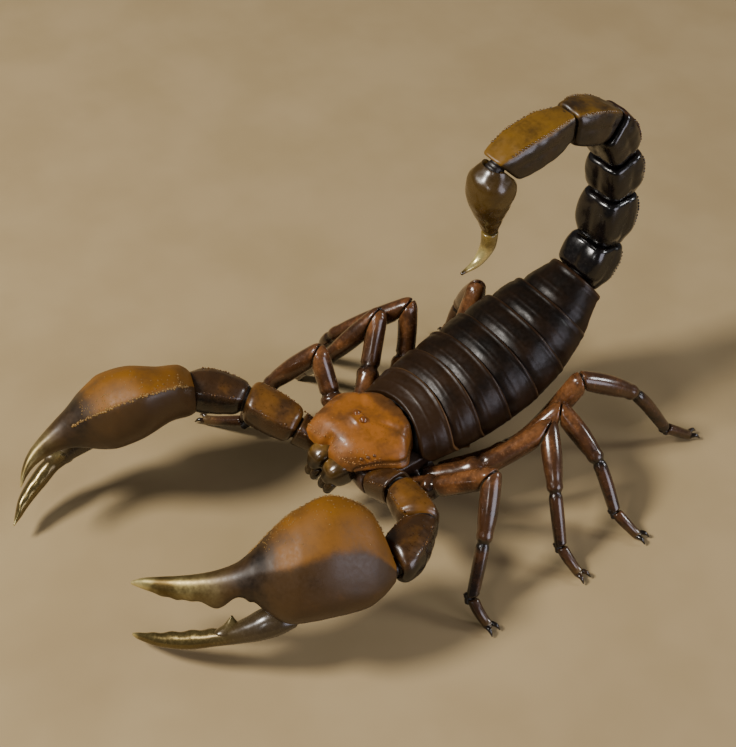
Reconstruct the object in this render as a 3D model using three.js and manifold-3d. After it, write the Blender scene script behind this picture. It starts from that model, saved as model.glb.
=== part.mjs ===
// A burrowing scorpion at life size, standing with both claws forward and its tail arched over its back.
// The animal faces -Y, its left side is +X and its feet stand on z = 0. Units are millimetres.
import * as THREE from "three";
import { mergeVertices } from "three/addons/utils/BufferGeometryUtils.js";
import Module from "manifold-3d";

const wasm = await Module();
wasm.setup();

// ---------------------------------------------------------------- driving dimensions

const GAP = 0.3; // between two plates that meet
const UP = new THREE.Vector3(0, 0, 1);
const LEFT = new THREE.Vector3(1, 0, 0);
const RIGHT = new THREE.Vector3(-1, 0, 0);

const CARAPACE = {
  base: 14.6, // height of the cut between the shield and the coxae below it
  front: -7.6, // y of the front lobes
  rear: 7.4, // y of the middle of the rear margin
  slack: 0.17, // more room before the first ring, for the flat facets of both
  bow: 2.2, // how far the rear margin comes forward at the flanks
  lean: 0.15, // how far the head turns to its right, per millimetre forward of the rear margin
  halfWidth: [6.3, 7.5, 8.6, 9.2, 9.3, 9.0, 7.9], // front to rear
  dome: [2.6, 4.5, 5.0, 5.1, 5.1, 5.2, 5.3], // height over the cut, front to rear
  lobe: { x: 3.9, width: 2.6, rise: 0.55 }, // the two swellings either side of the notch
  cheek: { x: 5.4, y: 4, width: 2, length: 3, rise: 0.45 }, // the two rear swellings
  corner: 0.07, // how fast the front edge falls back outside the lobes
  notch: { depth: 2.3, width: 1.5 },
  furrow: { depth: 0.7, width: 0.8 },
};
const EYE = {
  x: 0.95,
  y: -0.6,
  lift: 5.55, // over the cut
  radius: 0.72,
  hill: { rise: 0.83, width: 1.9, length: 2.2 },
};
const SIDE_EYES = { count: 3, x: 6.3, y: -4.6, lift: 2.75, step: [0.25, 1.05, 0.1], radius: 0.42 };

const JAW = {
  aside: 1.3, // how far both jaws sit to the left of the turned head's middle
  base: [[2.05, -4.2, 13.3], [2.15, -7.0, 13.0], [1.95, -9.4, 11.7]],
  finger: [[1.95, -8.6, 11.3], [1.9, -9.5, 10.1], [1.8, -9.2, 9.0]],
  fingerStep: 0.72, // from the middle of a jaw to each of its two fingers
};

// Middle of the back half, from the carapace to the tail: y, z.
const TRUNK_LINE = [
  [7.4, 13.5],
  [20, 14.9],
  [30, 17.2],
  [40, 21.4],
  [47.6, 26.4],
];
const TRUNK_HALF_WIDTH = [8.9, 9.9, 10.4, 10.4, 9.6, 7.7, 5.0];
const TRUNK_BACK = [6.6, 7.9, 8.6, 8.7, 8.2, 6.7, 4.7]; // height of the back over the middle
const TRUNK_BELLY = [5.2, 6.3, 7.0, 7.1, 6.6, 5.4, 4.3];
const TRUNK_RINGS = [4.6, 4.9, 5.4, 5.9, 6.3, 6.7, 7.3]; // share of the length each plate takes
const TERGITE = { raise: 0.5, ridge: 0.22, margin: 0.14 };

// Middle of the tail: y, z where two segments meet.
const TAIL_JOINTS = [
  [47.6, 26.4],
  [51.7, 33.9],
  [52.9, 43.9],
  [52.3, 52.2],
  [48.9, 60.3],
  [39.2, 63.8],
  [25.2, 61.8],
];
const TAIL_HALF_WIDTH = [4.7, 4.6, 4.4, 4.1, 3.7, 3.6];
const TAIL_HALF_HEIGHT = [4.5, 4.5, 4.2, 3.9, 3.6, 3.6];
const TAIL_GRANULES = { radius: 0.42, pitch: 1.5 };
const VESICLE = {
  line: [[25.2, 61.8], [24.2, 57.8], [24.3, 53.6], [24.8, 49.0]],
  half: [2.4, 3.8, 3.8, 3.15, 2.1, 1.35],
};
const STING = {
  line: [[24.8, 49.0], [24.5, 45.8], [22.5, 43.5], [19.2, 42.6]],
  half: [1.35, 1.2, 0.8, 0.25],
};

// Hand, measured from the wrist: along is distance forward, thumb is distance towards the movable finger.
const HAND = {
  along: [0, 1.9, 4.7, 10.2, 15, 17.4, 19.8, 22, 24.4, 27.4, 30.2, 33.2, 36, 38.8, 40.5],
  thumb: [0.5, -0.6, -1.7, -2.0, -0.65, 0.1, 0.5, 0.8, 1.7, 2.6, 2.7, 2.8, 2.7, 2.5, 2.5],
  halfWidth: [1.9, 5.0, 7.9, 9.45, 8.85, 7.9, 6.1, 4.0, 2.9, 2.6, 2.05, 1.75, 1.4, 0.85, 0.25],
  halfDepth: [1.9, 3.2, 4.6, 6.5, 6.8, 6.1, 5.0, 3.8, 2.9, 2.2, 1.8, 1.5, 1.2, 0.8, 0.25],
  sink: [0, 0.2, 0.3, 0.2, -0.1, -0.4, -0.7, -1.1, -1.6, -2.5, -3.5, -4.7, -6.1, -7.7, -8.8],
  finger: "fixed",
};
const FINGER = {
  along: [15.2, 17.6, 20.2, 22.8, 25, 27, 31.8, 36.3, 39.2, 40.3],
  thumb: [8.2, 8.2, 8.7, 9.7, 10.5, 11.1, 12.0, 12.2, 11.9, 11.7],
  halfWidth: [1.0, 2.2, 2.5, 2.0, 1.6, 1.35, 1.3, 1.0, 0.6, 0.25],
  halfDepth: [1.6, 2.4, 2.5, 2.2, 1.9, 1.6, 1.4, 1.1, 0.65, 0.25],
  sink: [-2.6, -2.8, -3.3, -4.2, -5.2, -6.2, -8.8, -11.6, -14, -15],
  finger: "movable",
};

const KNUCKLE = 22; // distance from the wrist past which the fingers start
const WRISTS = {
  left: {
    wrist: [24.9, -13.4, 16.6],
    forward: [-0.5, -0.86, 0.12],
    roll: 44,
    scale: 1,
    reach: { fixed: [1, 0], movable: [1, 0] },
  },
  right: {
    wrist: [-24.6, -19.6, 19.2],
    forward: [-0.23, -0.965, 0.06],
    roll: 50,
    scale: 0.95,
    reach: { fixed: [0.61, 0.34], movable: [0.74, 0.16] }, // at the tip, and more towards the knuckle
  },
};
const ARMS = {
  left: [
    [5.8, -3.2, 11.8],
    [11.3, -2.0, 14.2],
    [19.8, -3.6, 15.0],
  ],
  right: [
    [-7.2, -5.4, 12.2],
    [-10.0, -7.6, 14.3],
    [-18.2, -12.4, 17.6],
  ],
};

// Each leg: root, bend of the femur, knee, end of the patella, end of the tibia, foot.
const LEGS = {
  left_1: [
    [8.6, 1.4, 9.8],
    [13, 4.2, 12],
    [21.6, 9.3, 19],
    [26.4, 4.3, 12],
    [29.7, -1.5, 3.5],
    [34.3, -0.9, 0],
  ],
  left_2: [
    [8.8, 5.4, 9.7],
    [14.4, 12.6, 12.2],
    [18, 25.3, 17],
    [25.5, 20.5, 12],
    [30.9, 17.4, 3.5],
    [35.6, 18.2, 0],
  ],
  left_3: [
    [8.6, 9.2, 8.2],
    [13.1, 20.6, 9.6],
    [15.5, 30.5, 16],
    [24.2, 31.6, 11],
    [31.2, 30, 3.5],
    [35.8, 31.9, 0],
  ],
  left_4: [
    [7.6, 12.9, 5.2],
    [10.8, 25, 5.6],
    [14.3, 36.1, 19],
    [18.3, 45.3, 14],
    [22.9, 51, 3.5],
    [24.9, 56, 0],
  ],
  right_1: [
    [-8.4, 0.2, 10.6],
    [-12.9, 1.8, 13.6],
    [-18.1, 2.8, 20],
    [-23.6, -4.4, 12],
    [-24.5, -9.5, 3.5],
    [-32.2, -13.6, 0],
  ],
  right_2: [
    [-8.6, 4.2, 10.4],
    [-13.9, 10.8, 13.5],
    [-18.3, 16.2, 21],
    [-22.4, 7.8, 12],
    [-28.6, 7.4, 4],
    [-31.2, 6.8, 0],
  ],
  right_3: [
    [-8.6, 8.4, 8.8],
    [-13.6, 18.6, 12],
    [-17.1, 22.2, 21],
    [-26.8, 12, 12],
    [-31.3, 12.7, 4],
    [-33.1, 12.4, 0],
  ],
  right_4: [
    [-7.6, 12.9, 5.4],
    [-11.2, 26, 6.6],
    [-14, 36.1, 20],
    [-20.5, 38, 10],
    [-22, 37, 3.5],
    [-23.3, 36.5, 0],
  ],
};

// ---------------------------------------------------------------- making and joining solids

/** A point from three numbers. */
const point = (p) => new THREE.Vector3(...p);

/** A smooth value read anywhere from evenly spaced ones; u runs from 0 to 1. */
function reader(values) {
  const curve = new THREE.SplineCurve(values.map((value, i) => new THREE.Vector2(i, value)));
  return (u) => curve.getPoint(THREE.MathUtils.clamp(u, 0, 1)).y;
}

/** A closed solid from a closed geometry, with its shared corners merged and its faces pointing out. */
function solidOf(geometry) {
  const bare = geometry.clone();
  bare.deleteAttribute("normal");
  bare.deleteAttribute("uv");
  const merged = mergeVertices(bare, 1e-4);
  const corners = merged.index.array;
  const kept = [];
  for (let i = 0; i < corners.length; i += 3) {
    const [a, b, c] = corners.slice(i, i + 3);
    if (a !== b && b !== c && c !== a) kept.push(a, b, c);
  }
  const build = (triVerts) =>
    new wasm.Manifold(
      new wasm.Mesh({
        numProp: 3,
        vertProperties: new Float32Array(merged.attributes.position.array),
        triVerts: new Uint32Array(triVerts),
      }),
    );
  const made = build(kept);
  return made.volume() > 0 ? made : build(kept.reverse());
}

/** The largest closed body of a solid. */
function largest(solid) {
  return solid.decompose().reduce((best, body) => (body.volume() > best.volume() ? body : best));
}

/** Several solids joined into one body. */
function fuse(solids) {
  return largest(wasm.Manifold.union(solids));
}

/** Keeps what lies ahead of a plane through a place, less half a gap. */
function ahead(solid, place, normal, clear = GAP / 2) {
  const n = normal.clone().normalize();
  return solid.trimByPlane(n.toArray(), n.dot(place) + clear);
}

/** Keeps what lies behind a plane through a place, less half a gap. */
function behind(solid, place, normal, clear = GAP / 2) {
  return ahead(solid, place, normal.clone().negate(), clear);
}

/** A closed skin: place(u, angle, reach) gives each point, with reach 0 in the middle of an end. */
function skin(sides, rows, place) {
  const geometry = new THREE.CylinderGeometry(1, 1, 1, sides, rows);
  const positions = geometry.attributes.position;
  const from = new THREE.Vector3();
  for (let i = 0; i < positions.count; i++) {
    from.fromBufferAttribute(positions, i);
    const reach = Math.hypot(from.x, from.z) > 0.5 ? 1 : 0;
    const to = place(from.y + 0.5, Math.atan2(from.z, from.x), reach);
    positions.setXYZ(i, to.x, to.y, to.z);
  }
  return solidOf(geometry);
}

/** A point on the unit rim of a rounded box: 2 is an ellipse, more is squarer. */
function rim(angle, squareness) {
  const power = 2 / squareness;
  const bend = (value) => Math.sign(value) * Math.abs(value) ** power;
  return [bend(Math.cos(angle)), bend(Math.sin(angle))];
}

/** The side and top directions across a path. */
function across(tangent, up) {
  const side = tangent.clone().cross(up).normalize();
  return { side, top: side.clone().cross(tangent).normalize() };
}

/** A limb or finger along a path, with its half width and half height read along it. */
function limb(path, width, height, options = {}) {
  const { up = UP, sides = 8, rows = 5, squareness = 2.3, swell = () => 1, grow = 0 } = options;
  const points = path.map((p) => (p.isVector3 ? p : point(p)));
  const bent = points.length > 2;
  const curve = bent
    ? new THREE.CatmullRomCurve3(points, false, "centripetal")
    : new THREE.LineCurve3(...points);
  const wide = reader(width);
  const high = reader(height);
  return skin(sides, rows, (u, angle, reach) => {
    const tangent = curve.getTangent(u);
    const centre = curve.getPoint(u).addScaledVector(tangent, grow * (2 * u - 1));
    const { side, top } = across(tangent, up);
    const [x, y] = rim(angle, squareness);
    const out = reach * swell(u, angle);
    return centre
      .addScaledVector(side, x * (wide(u) + grow) * out)
      .addScaledVector(top, y * (high(u) + grow) * out);
  });
}

/** A round lump. */
function ball(place, radius, { sides = 8, rows = 6, squash = [1, 1, 1] } = {}) {
  const geometry = new THREE.SphereGeometry(radius, sides, rows);
  geometry.scale(...squash);
  geometry.translate(...(place.isVector3 ? place.toArray() : place));
  return solidOf(geometry);
}

/** A granule of eight faces, half sunk in the plate it stands on. */
function granule(place, radius) {
  const geometry = new THREE.OctahedronGeometry(radius);
  geometry.rotateZ(0.4);
  geometry.translate(place.x, place.y, place.z);
  return solidOf(geometry);
}

/** A seeded draw, so that the granules vary alike on every run. */
function draws(seed) {
  let state = seed;
  return () => {
    state = (state * 1664525 + 1013904223) % 4294967296;
    return state / 4294967296;
  };
}

/** A smooth hump: 1 in the middle, falling off over a width to either side. */
const hump = (offset, width) => Math.exp(-((offset / width) ** 2));

/** The direction of the cut between two lengths that meet at a joint. */
function mitre(before, joint, after) {
  const inward = joint.clone().sub(before).normalize();
  const outward = after.clone().sub(joint).normalize();
  return inward.add(outward).normalize();
}

// ---------------------------------------------------------------- back half of the body

const trunkCurve = new THREE.CatmullRomCurve3(
  TRUNK_LINE.map(([y, z]) => new THREE.Vector3(0, y, z)),
  false,
  "centripetal",
);
const trunkHalfWidth = reader(TRUNK_HALF_WIDTH);
const trunkBack = reader(TRUNK_BACK);
const trunkBelly = reader(TRUNK_BELLY);

/** The cut between the head shield and the back half. */
const trunkStart = trunkCurve.getPoint(0);
const trunkStartTangent = trunkCurve.getTangent(0);

/** How far a plate's edge comes forward at the flanks; c is the share across and level the sine of its angle. */
function bow(c, level, at) {
  const upper = THREE.MathUtils.smoothstep(level, -0.3, 0.2);
  return CARAPACE.bow * c * c * upper * Math.max(1 - at / 0.45, 0);
}

/** The whole back half, grown by a gap, which clears what passes close under it. */
function trunkClearance() {
  return skin(20, 12, (u, angle, reach) => {
    const tangent = trunkCurve.getTangentAt(u);
    const centre = trunkCurve.getPointAt(u).addScaledVector(tangent, (GAP / 2) * (2 * u - 1));
    const { side, top } = across(tangent, UP);
    const [x, y] = rim(angle, 2.15);
    centre.addScaledVector(tangent, -reach * bow(x, Math.sin(angle), u));
    const half = trunkHalfWidth(u) + TERGITE.raise + GAP;
    const rise = y > 0 ? trunkBack(u) + TERGITE.raise + GAP : trunkBelly(u) + GAP;
    return centre.addScaledVector(side, reach * x * half).addScaledVector(top, reach * y * rise);
  });
}

/** One ring of the back half: a belly plate below and a raised back plate whose rear edge stands proud. */
function trunkRing(start, end) {
  const length = trunkCurve.getLength();
  const from = start + GAP / 2 / length;
  const to = end - GAP / 2 / length;
  return skin(20, 5, (u, angle, reach) => {
    const at = from + (to - from) * u;
    const centre = trunkCurve.getPointAt(at);
    const tangent = trunkCurve.getTangentAt(at);
    const { side, top } = across(tangent, UP);
    const [x, y] = rim(angle, 2.15);
    centre.addScaledVector(tangent, -reach * bow(x, Math.sin(angle), at));
    const above = Math.sin(angle) > -TERGITE.margin;
    const slope = TERGITE.raise * (0.25 + 0.75 * u);
    const flare = above ? slope + TERGITE.ridge * hump(u - 0.2, 0.12) : 0;
    const half = trunkHalfWidth(at) + flare;
    const rise = (y > 0 ? trunkBack(at) : trunkBelly(at)) + flare;
    return centre.addScaledVector(side, reach * x * half).addScaledVector(top, reach * y * rise);
  });
}

/** The seven rings of the back half, front to rear. */
function trunkRings() {
  const total = TRUNK_RINGS.reduce((sum, share) => sum + share);
  let passed = 0;
  return TRUNK_RINGS.map((share) => {
    const start = passed / total;
    passed += share;
    return trunkRing(start, passed / total);
  });
}

// ---------------------------------------------------------------- head shield and what it covers

const carapaceHalf = reader(CARAPACE.halfWidth);
const carapaceDome = reader(CARAPACE.dome);

/** The y of the front edge of the shield at a distance from the middle. */
function frontEdge(x, grow) {
  const { notch, lobe, corner } = CARAPACE;
  const cut = notch.depth * Math.exp(-((x / (notch.width - grow)) ** 2));
  const cornerCut = corner * Math.max(Math.abs(x) - lobe.x, 0) ** 3;
  return CARAPACE.front - grow + cut + cornerCut;
}

/** Turns a place of the head a little to the animal's right, less towards the rear. */
function turned(place) {
  place.x -= CARAPACE.lean * Math.max(CARAPACE.rear - place.y, 0);
  return place;
}

/** The head shield: two front lobes, a middle furrow, an eye hill and a rounded rear. */
function shield(grow = 0) {
  const { lobe, cheek, furrow } = CARAPACE;
  return skin(26, 10, (u, angle, reach) => {
    const [c, s] = rim(angle, 2.5);
    const x = reach * c * carapaceHalf(u);
    const back = CARAPACE.rear - GAP / 2 - CARAPACE.slack - bow(x / trunkHalfWidth(0), 1, 0);
    const y = THREE.MathUtils.lerp(frontEdge(x, grow), back, u);
    const fore = THREE.MathUtils.smoothstep(-y, -3, 5);
    const lobes = lobe.rise * fore * hump(Math.abs(x) - lobe.x, lobe.width);
    const aside = hump(Math.abs(x) - cheek.x, cheek.width);
    const cheeks = cheek.rise * (1 - fore) * aside * hump(y - cheek.y, cheek.length);
    const groove = furrow.depth * hump(x, furrow.width) * (0.35 + 0.65 * fore);
    const hill = EYE.hill.rise * hump(x, EYE.hill.width) * hump(y - EYE.y, EYE.hill.length);
    const top = (carapaceDome(u) + lobes + cheeks - groove + hill + grow) * Math.max(s, 0);
    const z = CARAPACE.base + reach * (s > 0 ? top : 3 * s);
    const slope = (u * (z - trunkStart.z) * trunkStartTangent.z) / trunkStartTangent.y;
    return turned(new THREE.Vector3(x + grow * reach * c, y - slope, z));
  });
}

/** The row of small side eyes along each front corner of the shield. */
function sideEyes(grow = 0) {
  const eyes = [];
  for (const sign of [-1, 1]) {
    for (let i = 0; i < SIDE_EYES.count; i++) {
      const [dx, dy, dz] = SIDE_EYES.step;
      const z = CARAPACE.base + SIDE_EYES.lift + dz * i;
      const place = new THREE.Vector3(sign * (SIDE_EYES.x + dx * i), SIDE_EYES.y + dy * i, z);
      eyes.push(ball(turned(place), SIDE_EYES.radius + grow, { sides: 6, rows: 4 }));
    }
  }
  return eyes;
}

/** The head shield with its side eyes and the sockets for the middle eyes. */
function carapace() {
  const whole = fuse([shield(), ...sideEyes()]);
  const sockets = [-1, 1].map((sign) => ball(eyePlace(sign), EYE.radius + GAP, { sides: 8, rows: 6 }));
  const cut = ahead(whole, new THREE.Vector3(0, 0, CARAPACE.base), UP);
  return largest(cut.subtract(wasm.Manifold.union(sockets)));
}

/** The middle of a middle eye, in the hill on top of the shield. */
function eyePlace(sign) {
  return turned(new THREE.Vector3(sign * EYE.x, EYE.y, CARAPACE.base + EYE.lift));
}

const breastHalf = reader([5.4, 7.6, 8.1, 8.3, 8.2, 8.0]);
const breastDepth = reader([3.2, 5.2, 5.8, 6.0, 5.8, 5.4]);

/** The coxae: a plate of breastbone with a stub for each leg and each arm. */
function coxae(clearances) {
  const body = skin(16, 5, (u, angle, reach) => {
    const [c, s] = rim(angle, 2.6);
    const half = breastHalf(u);
    const belly = breastDepth(u);
    const y = THREE.MathUtils.lerp(-4.6, CARAPACE.rear + 1, u);
    return new THREE.Vector3(reach * c * half, y, 13.6 + reach * s * (s > 0 ? 2 : belly));
  });
  const stubs = Object.values(LEGS).map((joints) => {
    const root = point(joints[0]);
    const next = point(joints[1]);
    const inside = new THREE.Vector3(root.x * 0.3, Math.min(root.y, 7) - 0.5, root.z + 1.6);
    const tip = root.clone().addScaledVector(next.clone().sub(root).normalize(), 1.5);
    const half = [2.2, 1.9, 1.8];
    return behind(limb([inside, root, tip], half, half, { rows: 2, sides: 7 }), root, next.sub(root));
  });
  const arms = Object.values(ARMS).map((joints) => {
    const root = point(joints[0]);
    const next = point(joints[1]);
    const inside = new THREE.Vector3(root.x * 0.4, root.y + 0.4, root.z - 0.6);
    const tip = root.clone().addScaledVector(next.clone().sub(root).normalize(), 2);
    const stub = limb([inside, root, tip], [2.6, 2.8, 2.6], [2.4, 2.7, 2.4], { rows: 2 });
    return behind(stub, root, next.sub(root));
  });
  const block = behind(body, trunkStart, trunkStartTangent);
  const under = behind(fuse([block, ...stubs, ...arms]), new THREE.Vector3(0, 0, CARAPACE.base), UP);
  return largest(under.subtract(wasm.Manifold.union([trunkClearance(), ...clearances])));
}

/** A place in a jaw, turned with the head. */
function jawPlace([x, y, z], sign, step = 0) {
  return turned(new THREE.Vector3(sign * x + JAW.aside + step, y, z));
}

/** The swollen base of a jaw, grown by a gap where it clears its neighbours. */
function jawBase(sign, grow = 0) {
  return limb(
    JAW.base.map((p) => jawPlace(p, sign)),
    [1.8, 2.0, 2.0, 1.85, 1.2],
    [2.3, 2.7, 2.7, 2.3, 1.3],
    { sides: 10, rows: 5, grow },
  );
}

/** A jaw: a swollen base under the front lobe with two short hooked fingers below its tip. */
function chelicera(sign, cover) {
  const fingers = [JAW.fingerStep, -JAW.fingerStep].map((step) =>
    limb(
      JAW.finger.map((p) => jawPlace(p, sign, step)),
      [0.95, 0.75, 0.3],
      [1.0, 0.8, 0.3],
      { sides: 5, rows: 2 },
    ),
  );
  const clear = fuse([jawBase(sign), ...fingers]).subtract(cover);
  const middle = jawPlace([0, -7, 0], sign);
  const half = ahead(clear, middle, new THREE.Vector3(sign, -sign * CARAPACE.lean, 0));
  return largest(ahead(half, new THREE.Vector3(0, -4.6, 0), new THREE.Vector3(0, -1, 0), GAP));
}

/** A comb under the belly: a curved spine with a row of blunt teeth along its rear edge. */
function pectine(sign) {
  const teeth = 7;
  const line = [[sign * 1.4, 12.4, 7.7], [sign * 4.2, 14.6, 7.3], [sign * 6.6, 17.8, 7.4]];
  const spine = limb(line, [0.9, 0.85, 0.5], [0.55, 0.5, 0.4], { sides: 6, rows: 3 });
  const curve = new THREE.CatmullRomCurve3(line.map(point));
  const comb = [];
  for (let i = 0; i < teeth; i++) {
    const u = 0.08 + (0.86 * i) / (teeth - 1);
    const root = curve.getPoint(u);
    const away = curve.getTangent(u).cross(UP).multiplyScalar(-sign);
    away.y = Math.abs(away.y);
    const length = 2.3 - 0.8 * u;
    const tip = root.clone().addScaledVector(away.normalize(), length);
    comb.push(limb([root, tip], [0.36, 0.42], [0.32, 0.34], { sides: 4, rows: 1 }));
  }
  return largest(fuse([spine, ...comb]).subtract(trunkClearance()));
}

// ---------------------------------------------------------------- arms and claws

/** The frame of a hand: forward, towards the thumb, and out of its back. */
function handFrame({ wrist, forward, roll, reach }, sign) {
  const onward = point(forward).normalize();
  const outward = onward.clone().cross(UP).multiplyScalar(-sign).normalize();
  const lift = outward.clone().cross(onward).multiplyScalar(-sign).normalize();
  const turn = THREE.MathUtils.degToRad(roll);
  const thumb = outward.clone().multiplyScalar(Math.cos(turn)).addScaledVector(lift, -Math.sin(turn));
  const back = outward.clone().multiplyScalar(Math.sin(turn)).addScaledVector(lift, Math.cos(turn));
  return { wrist: point(wrist), onward, thumb, back, reach };
}

/** A length of hand or finger, read along the tables of its form, in the frame of its hand. */
function handLength(form, frame, scale, sides, rows, squareness, relief) {
  const along = reader(form.along);
  const aside = reader(form.thumb);
  const half = reader(form.halfWidth);
  const deep = reader(form.halfDepth);
  const sink = reader(form.sink);
  return skin(sides, rows, (u, angle, reach) => {
    const [c, s] = rim(angle, squareness);
    const w = aside(u) + reach * c * half(u);
    const d = sink(u) + reach * (s * deep(u) + relief(u, angle));
    return handPlace(frame, scale, along(u), w, d, form.finger);
  });
}

/** A place in the frame of a hand; past the knuckle each finger reaches by its own share. */
function handPlace(frame, scale, along, thumb, back, finger = "fixed") {
  const past = Math.max(along - KNUCKLE, 0);
  const [tip, more] = frame.reach[finger];
  const share = tip + more * (1 - past / 18.5);
  return frame.wrist
    .clone()
    .addScaledVector(frame.onward, scale * (along - past * (1 - share)))
    .addScaledVector(frame.thumb, scale * thumb)
    .addScaledVector(frame.back, scale * back);
}

/** The swollen hand with its fixed finger, a granular inner edge and a low keel on its back. */
function hand(frame, scale) {
  const keel = (u, angle) => 0.45 * hump(angle - 1.25, 0.3) * Math.sin(Math.PI * Math.min(u / 0.55, 1));
  const palm = handLength(HAND, frame, scale, 16, 14, 2.2, keel);
  const bumps = [];
  const draw = draws(7);
  const edge = reader(HAND.thumb.map((w, i) => w - HAND.halfWidth[i]));
  const along = reader(HAND.along);
  const count = 12;
  for (let i = 0; i < count; i++) {
    const u = 0.17 + (0.4 * i) / (count - 1);
    const place = handPlace(frame, scale, along(u), edge(u) + 0.12, 0.35 * (draw() - 0.5));
    bumps.push(granule(place, (0.42 + 0.14 * draw()) * scale));
  }
  const tooth = ball(handPlace(frame, scale, 27.3, 4.5, -2.4), 1.15 * scale, { sides: 7, rows: 5 });
  return fuse([palm, tooth, ...bumps]);
}

/** The movable finger: a strong base under the hand, a conical tooth and low bumps on its cutting edge. */
function movableFinger(frame, scale) {
  const blade = handLength(FINGER, frame, scale, 9, 10, 2.2, () => 0);
  const spike = limb(
    [handPlace(frame, scale, 24.8, 10.0, -5.1, "movable"), handPlace(frame, scale, 25.4, 7.9, -5.0, "movable")],
    [1.3 * scale, 0.25],
    [1.1 * scale, 0.25],
    { up: frame.back, sides: 6, rows: 1 },
  );
  const bumps = [30.2, 33.2, 36.0].map((s, i) =>
    ball(handPlace(frame, scale, s, 10.8 + 0.15 * i, -7.9 - 1.75 * i, "movable"), 0.7 * scale, { sides: 6, rows: 4 }),
  );
  return fuse([blade, spike, ...bumps]);
}

/** Both claws' pieces of one arm: trochanter, femur, patella, hand and movable finger. */
function arm(side, cover, clearances) {
  const sign = side === "left" ? 1 : -1;
  const { scale } = WRISTS[side];
  const frame = handFrame(WRISTS[side], sign);
  const joints = [...ARMS[side].map(point), frame.wrist];
  const knuckle = frame.wrist.clone().addScaledVector(frame.onward, 10);
  const [root, hip, elbow, wrist] = joints;
  const hipCut = mitre(root, hip, elbow);
  const elbowCut = mitre(hip, elbow, wrist);
  const wristCut = mitre(elbow, wrist, knuckle);
  const rootCut = hip.clone().sub(root);
  const beyond = (from, to, by) => to.clone().addScaledVector(to.clone().sub(from).normalize(), by);

  const trochanterOf = (grow) =>
    limb([beyond(hip, root, 1), beyond(root, hip, 2)], [2.4, 2.8, 3.0], [2.4, 2.8, 3.0], { rows: 3, grow });
  const trochanter = largest(behind(ahead(trochanterOf(0), root, rootCut), hip, hipCut).subtract(cover));
  clearances.push(ahead(trochanterOf(GAP), root, rootCut, -GAP / 2));
  let femur = limb(
    [beyond(elbow, hip, 2.5), beyond(hip, elbow, 2.5)],
    [2.7, 3.3, 3.6, 3.8, 3.4],
    [2.6, 3.1, 3.4, 3.5, 3.1],
    { sides: 10, rows: 6, squareness: 2.8 },
  );
  femur = largest(behind(ahead(femur, hip, hipCut), elbow, elbowCut).subtract(cover));
  const shoulder = elbow.clone().lerp(wrist, 0.5).addScaledVector(frame.back, 0.2);
  let patella = limb(
    [beyond(wrist, elbow, 2), shoulder, beyond(elbow, wrist, 1.5)],
    [2.6, 3.4, 3.95, 3.9, 2.8],
    [2.6, 3.2, 3.6, 3.5, 2.6],
    { sides: 12, rows: 7, squareness: 2.6 },
  );
  patella = behind(ahead(patella, elbow, elbowCut), wrist, wristCut);
  const blade = movableFinger(frame, scale);
  const fingerClearance = {
    ...FINGER,
    along: FINGER.along.map((v, i) => v - (i ? 0 : 1.6 * GAP)),
    halfWidth: FINGER.halfWidth.map((v) => v + 1.3 * GAP),
    halfDepth: FINGER.halfDepth.map((v) => v + 1.3 * GAP),
  };
  const grown = handLength(fingerClearance, frame, scale, 9, 10, 2.2, () => 0);
  const palm = largest(ahead(hand(frame, scale), wrist, wristCut).subtract(grown));
  return [
    [`arm_${side}_trochanter`, trochanter, "arm"],
    [`arm_${side}_femur`, femur, "arm"],
    [`arm_${side}_patella`, patella, "arm"],
    [`claw_${side}_hand`, palm, "claw"],
    [`claw_${side}_movable_finger`, largest(blade), "finger"],
  ];
}

// ---------------------------------------------------------------- legs

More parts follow.
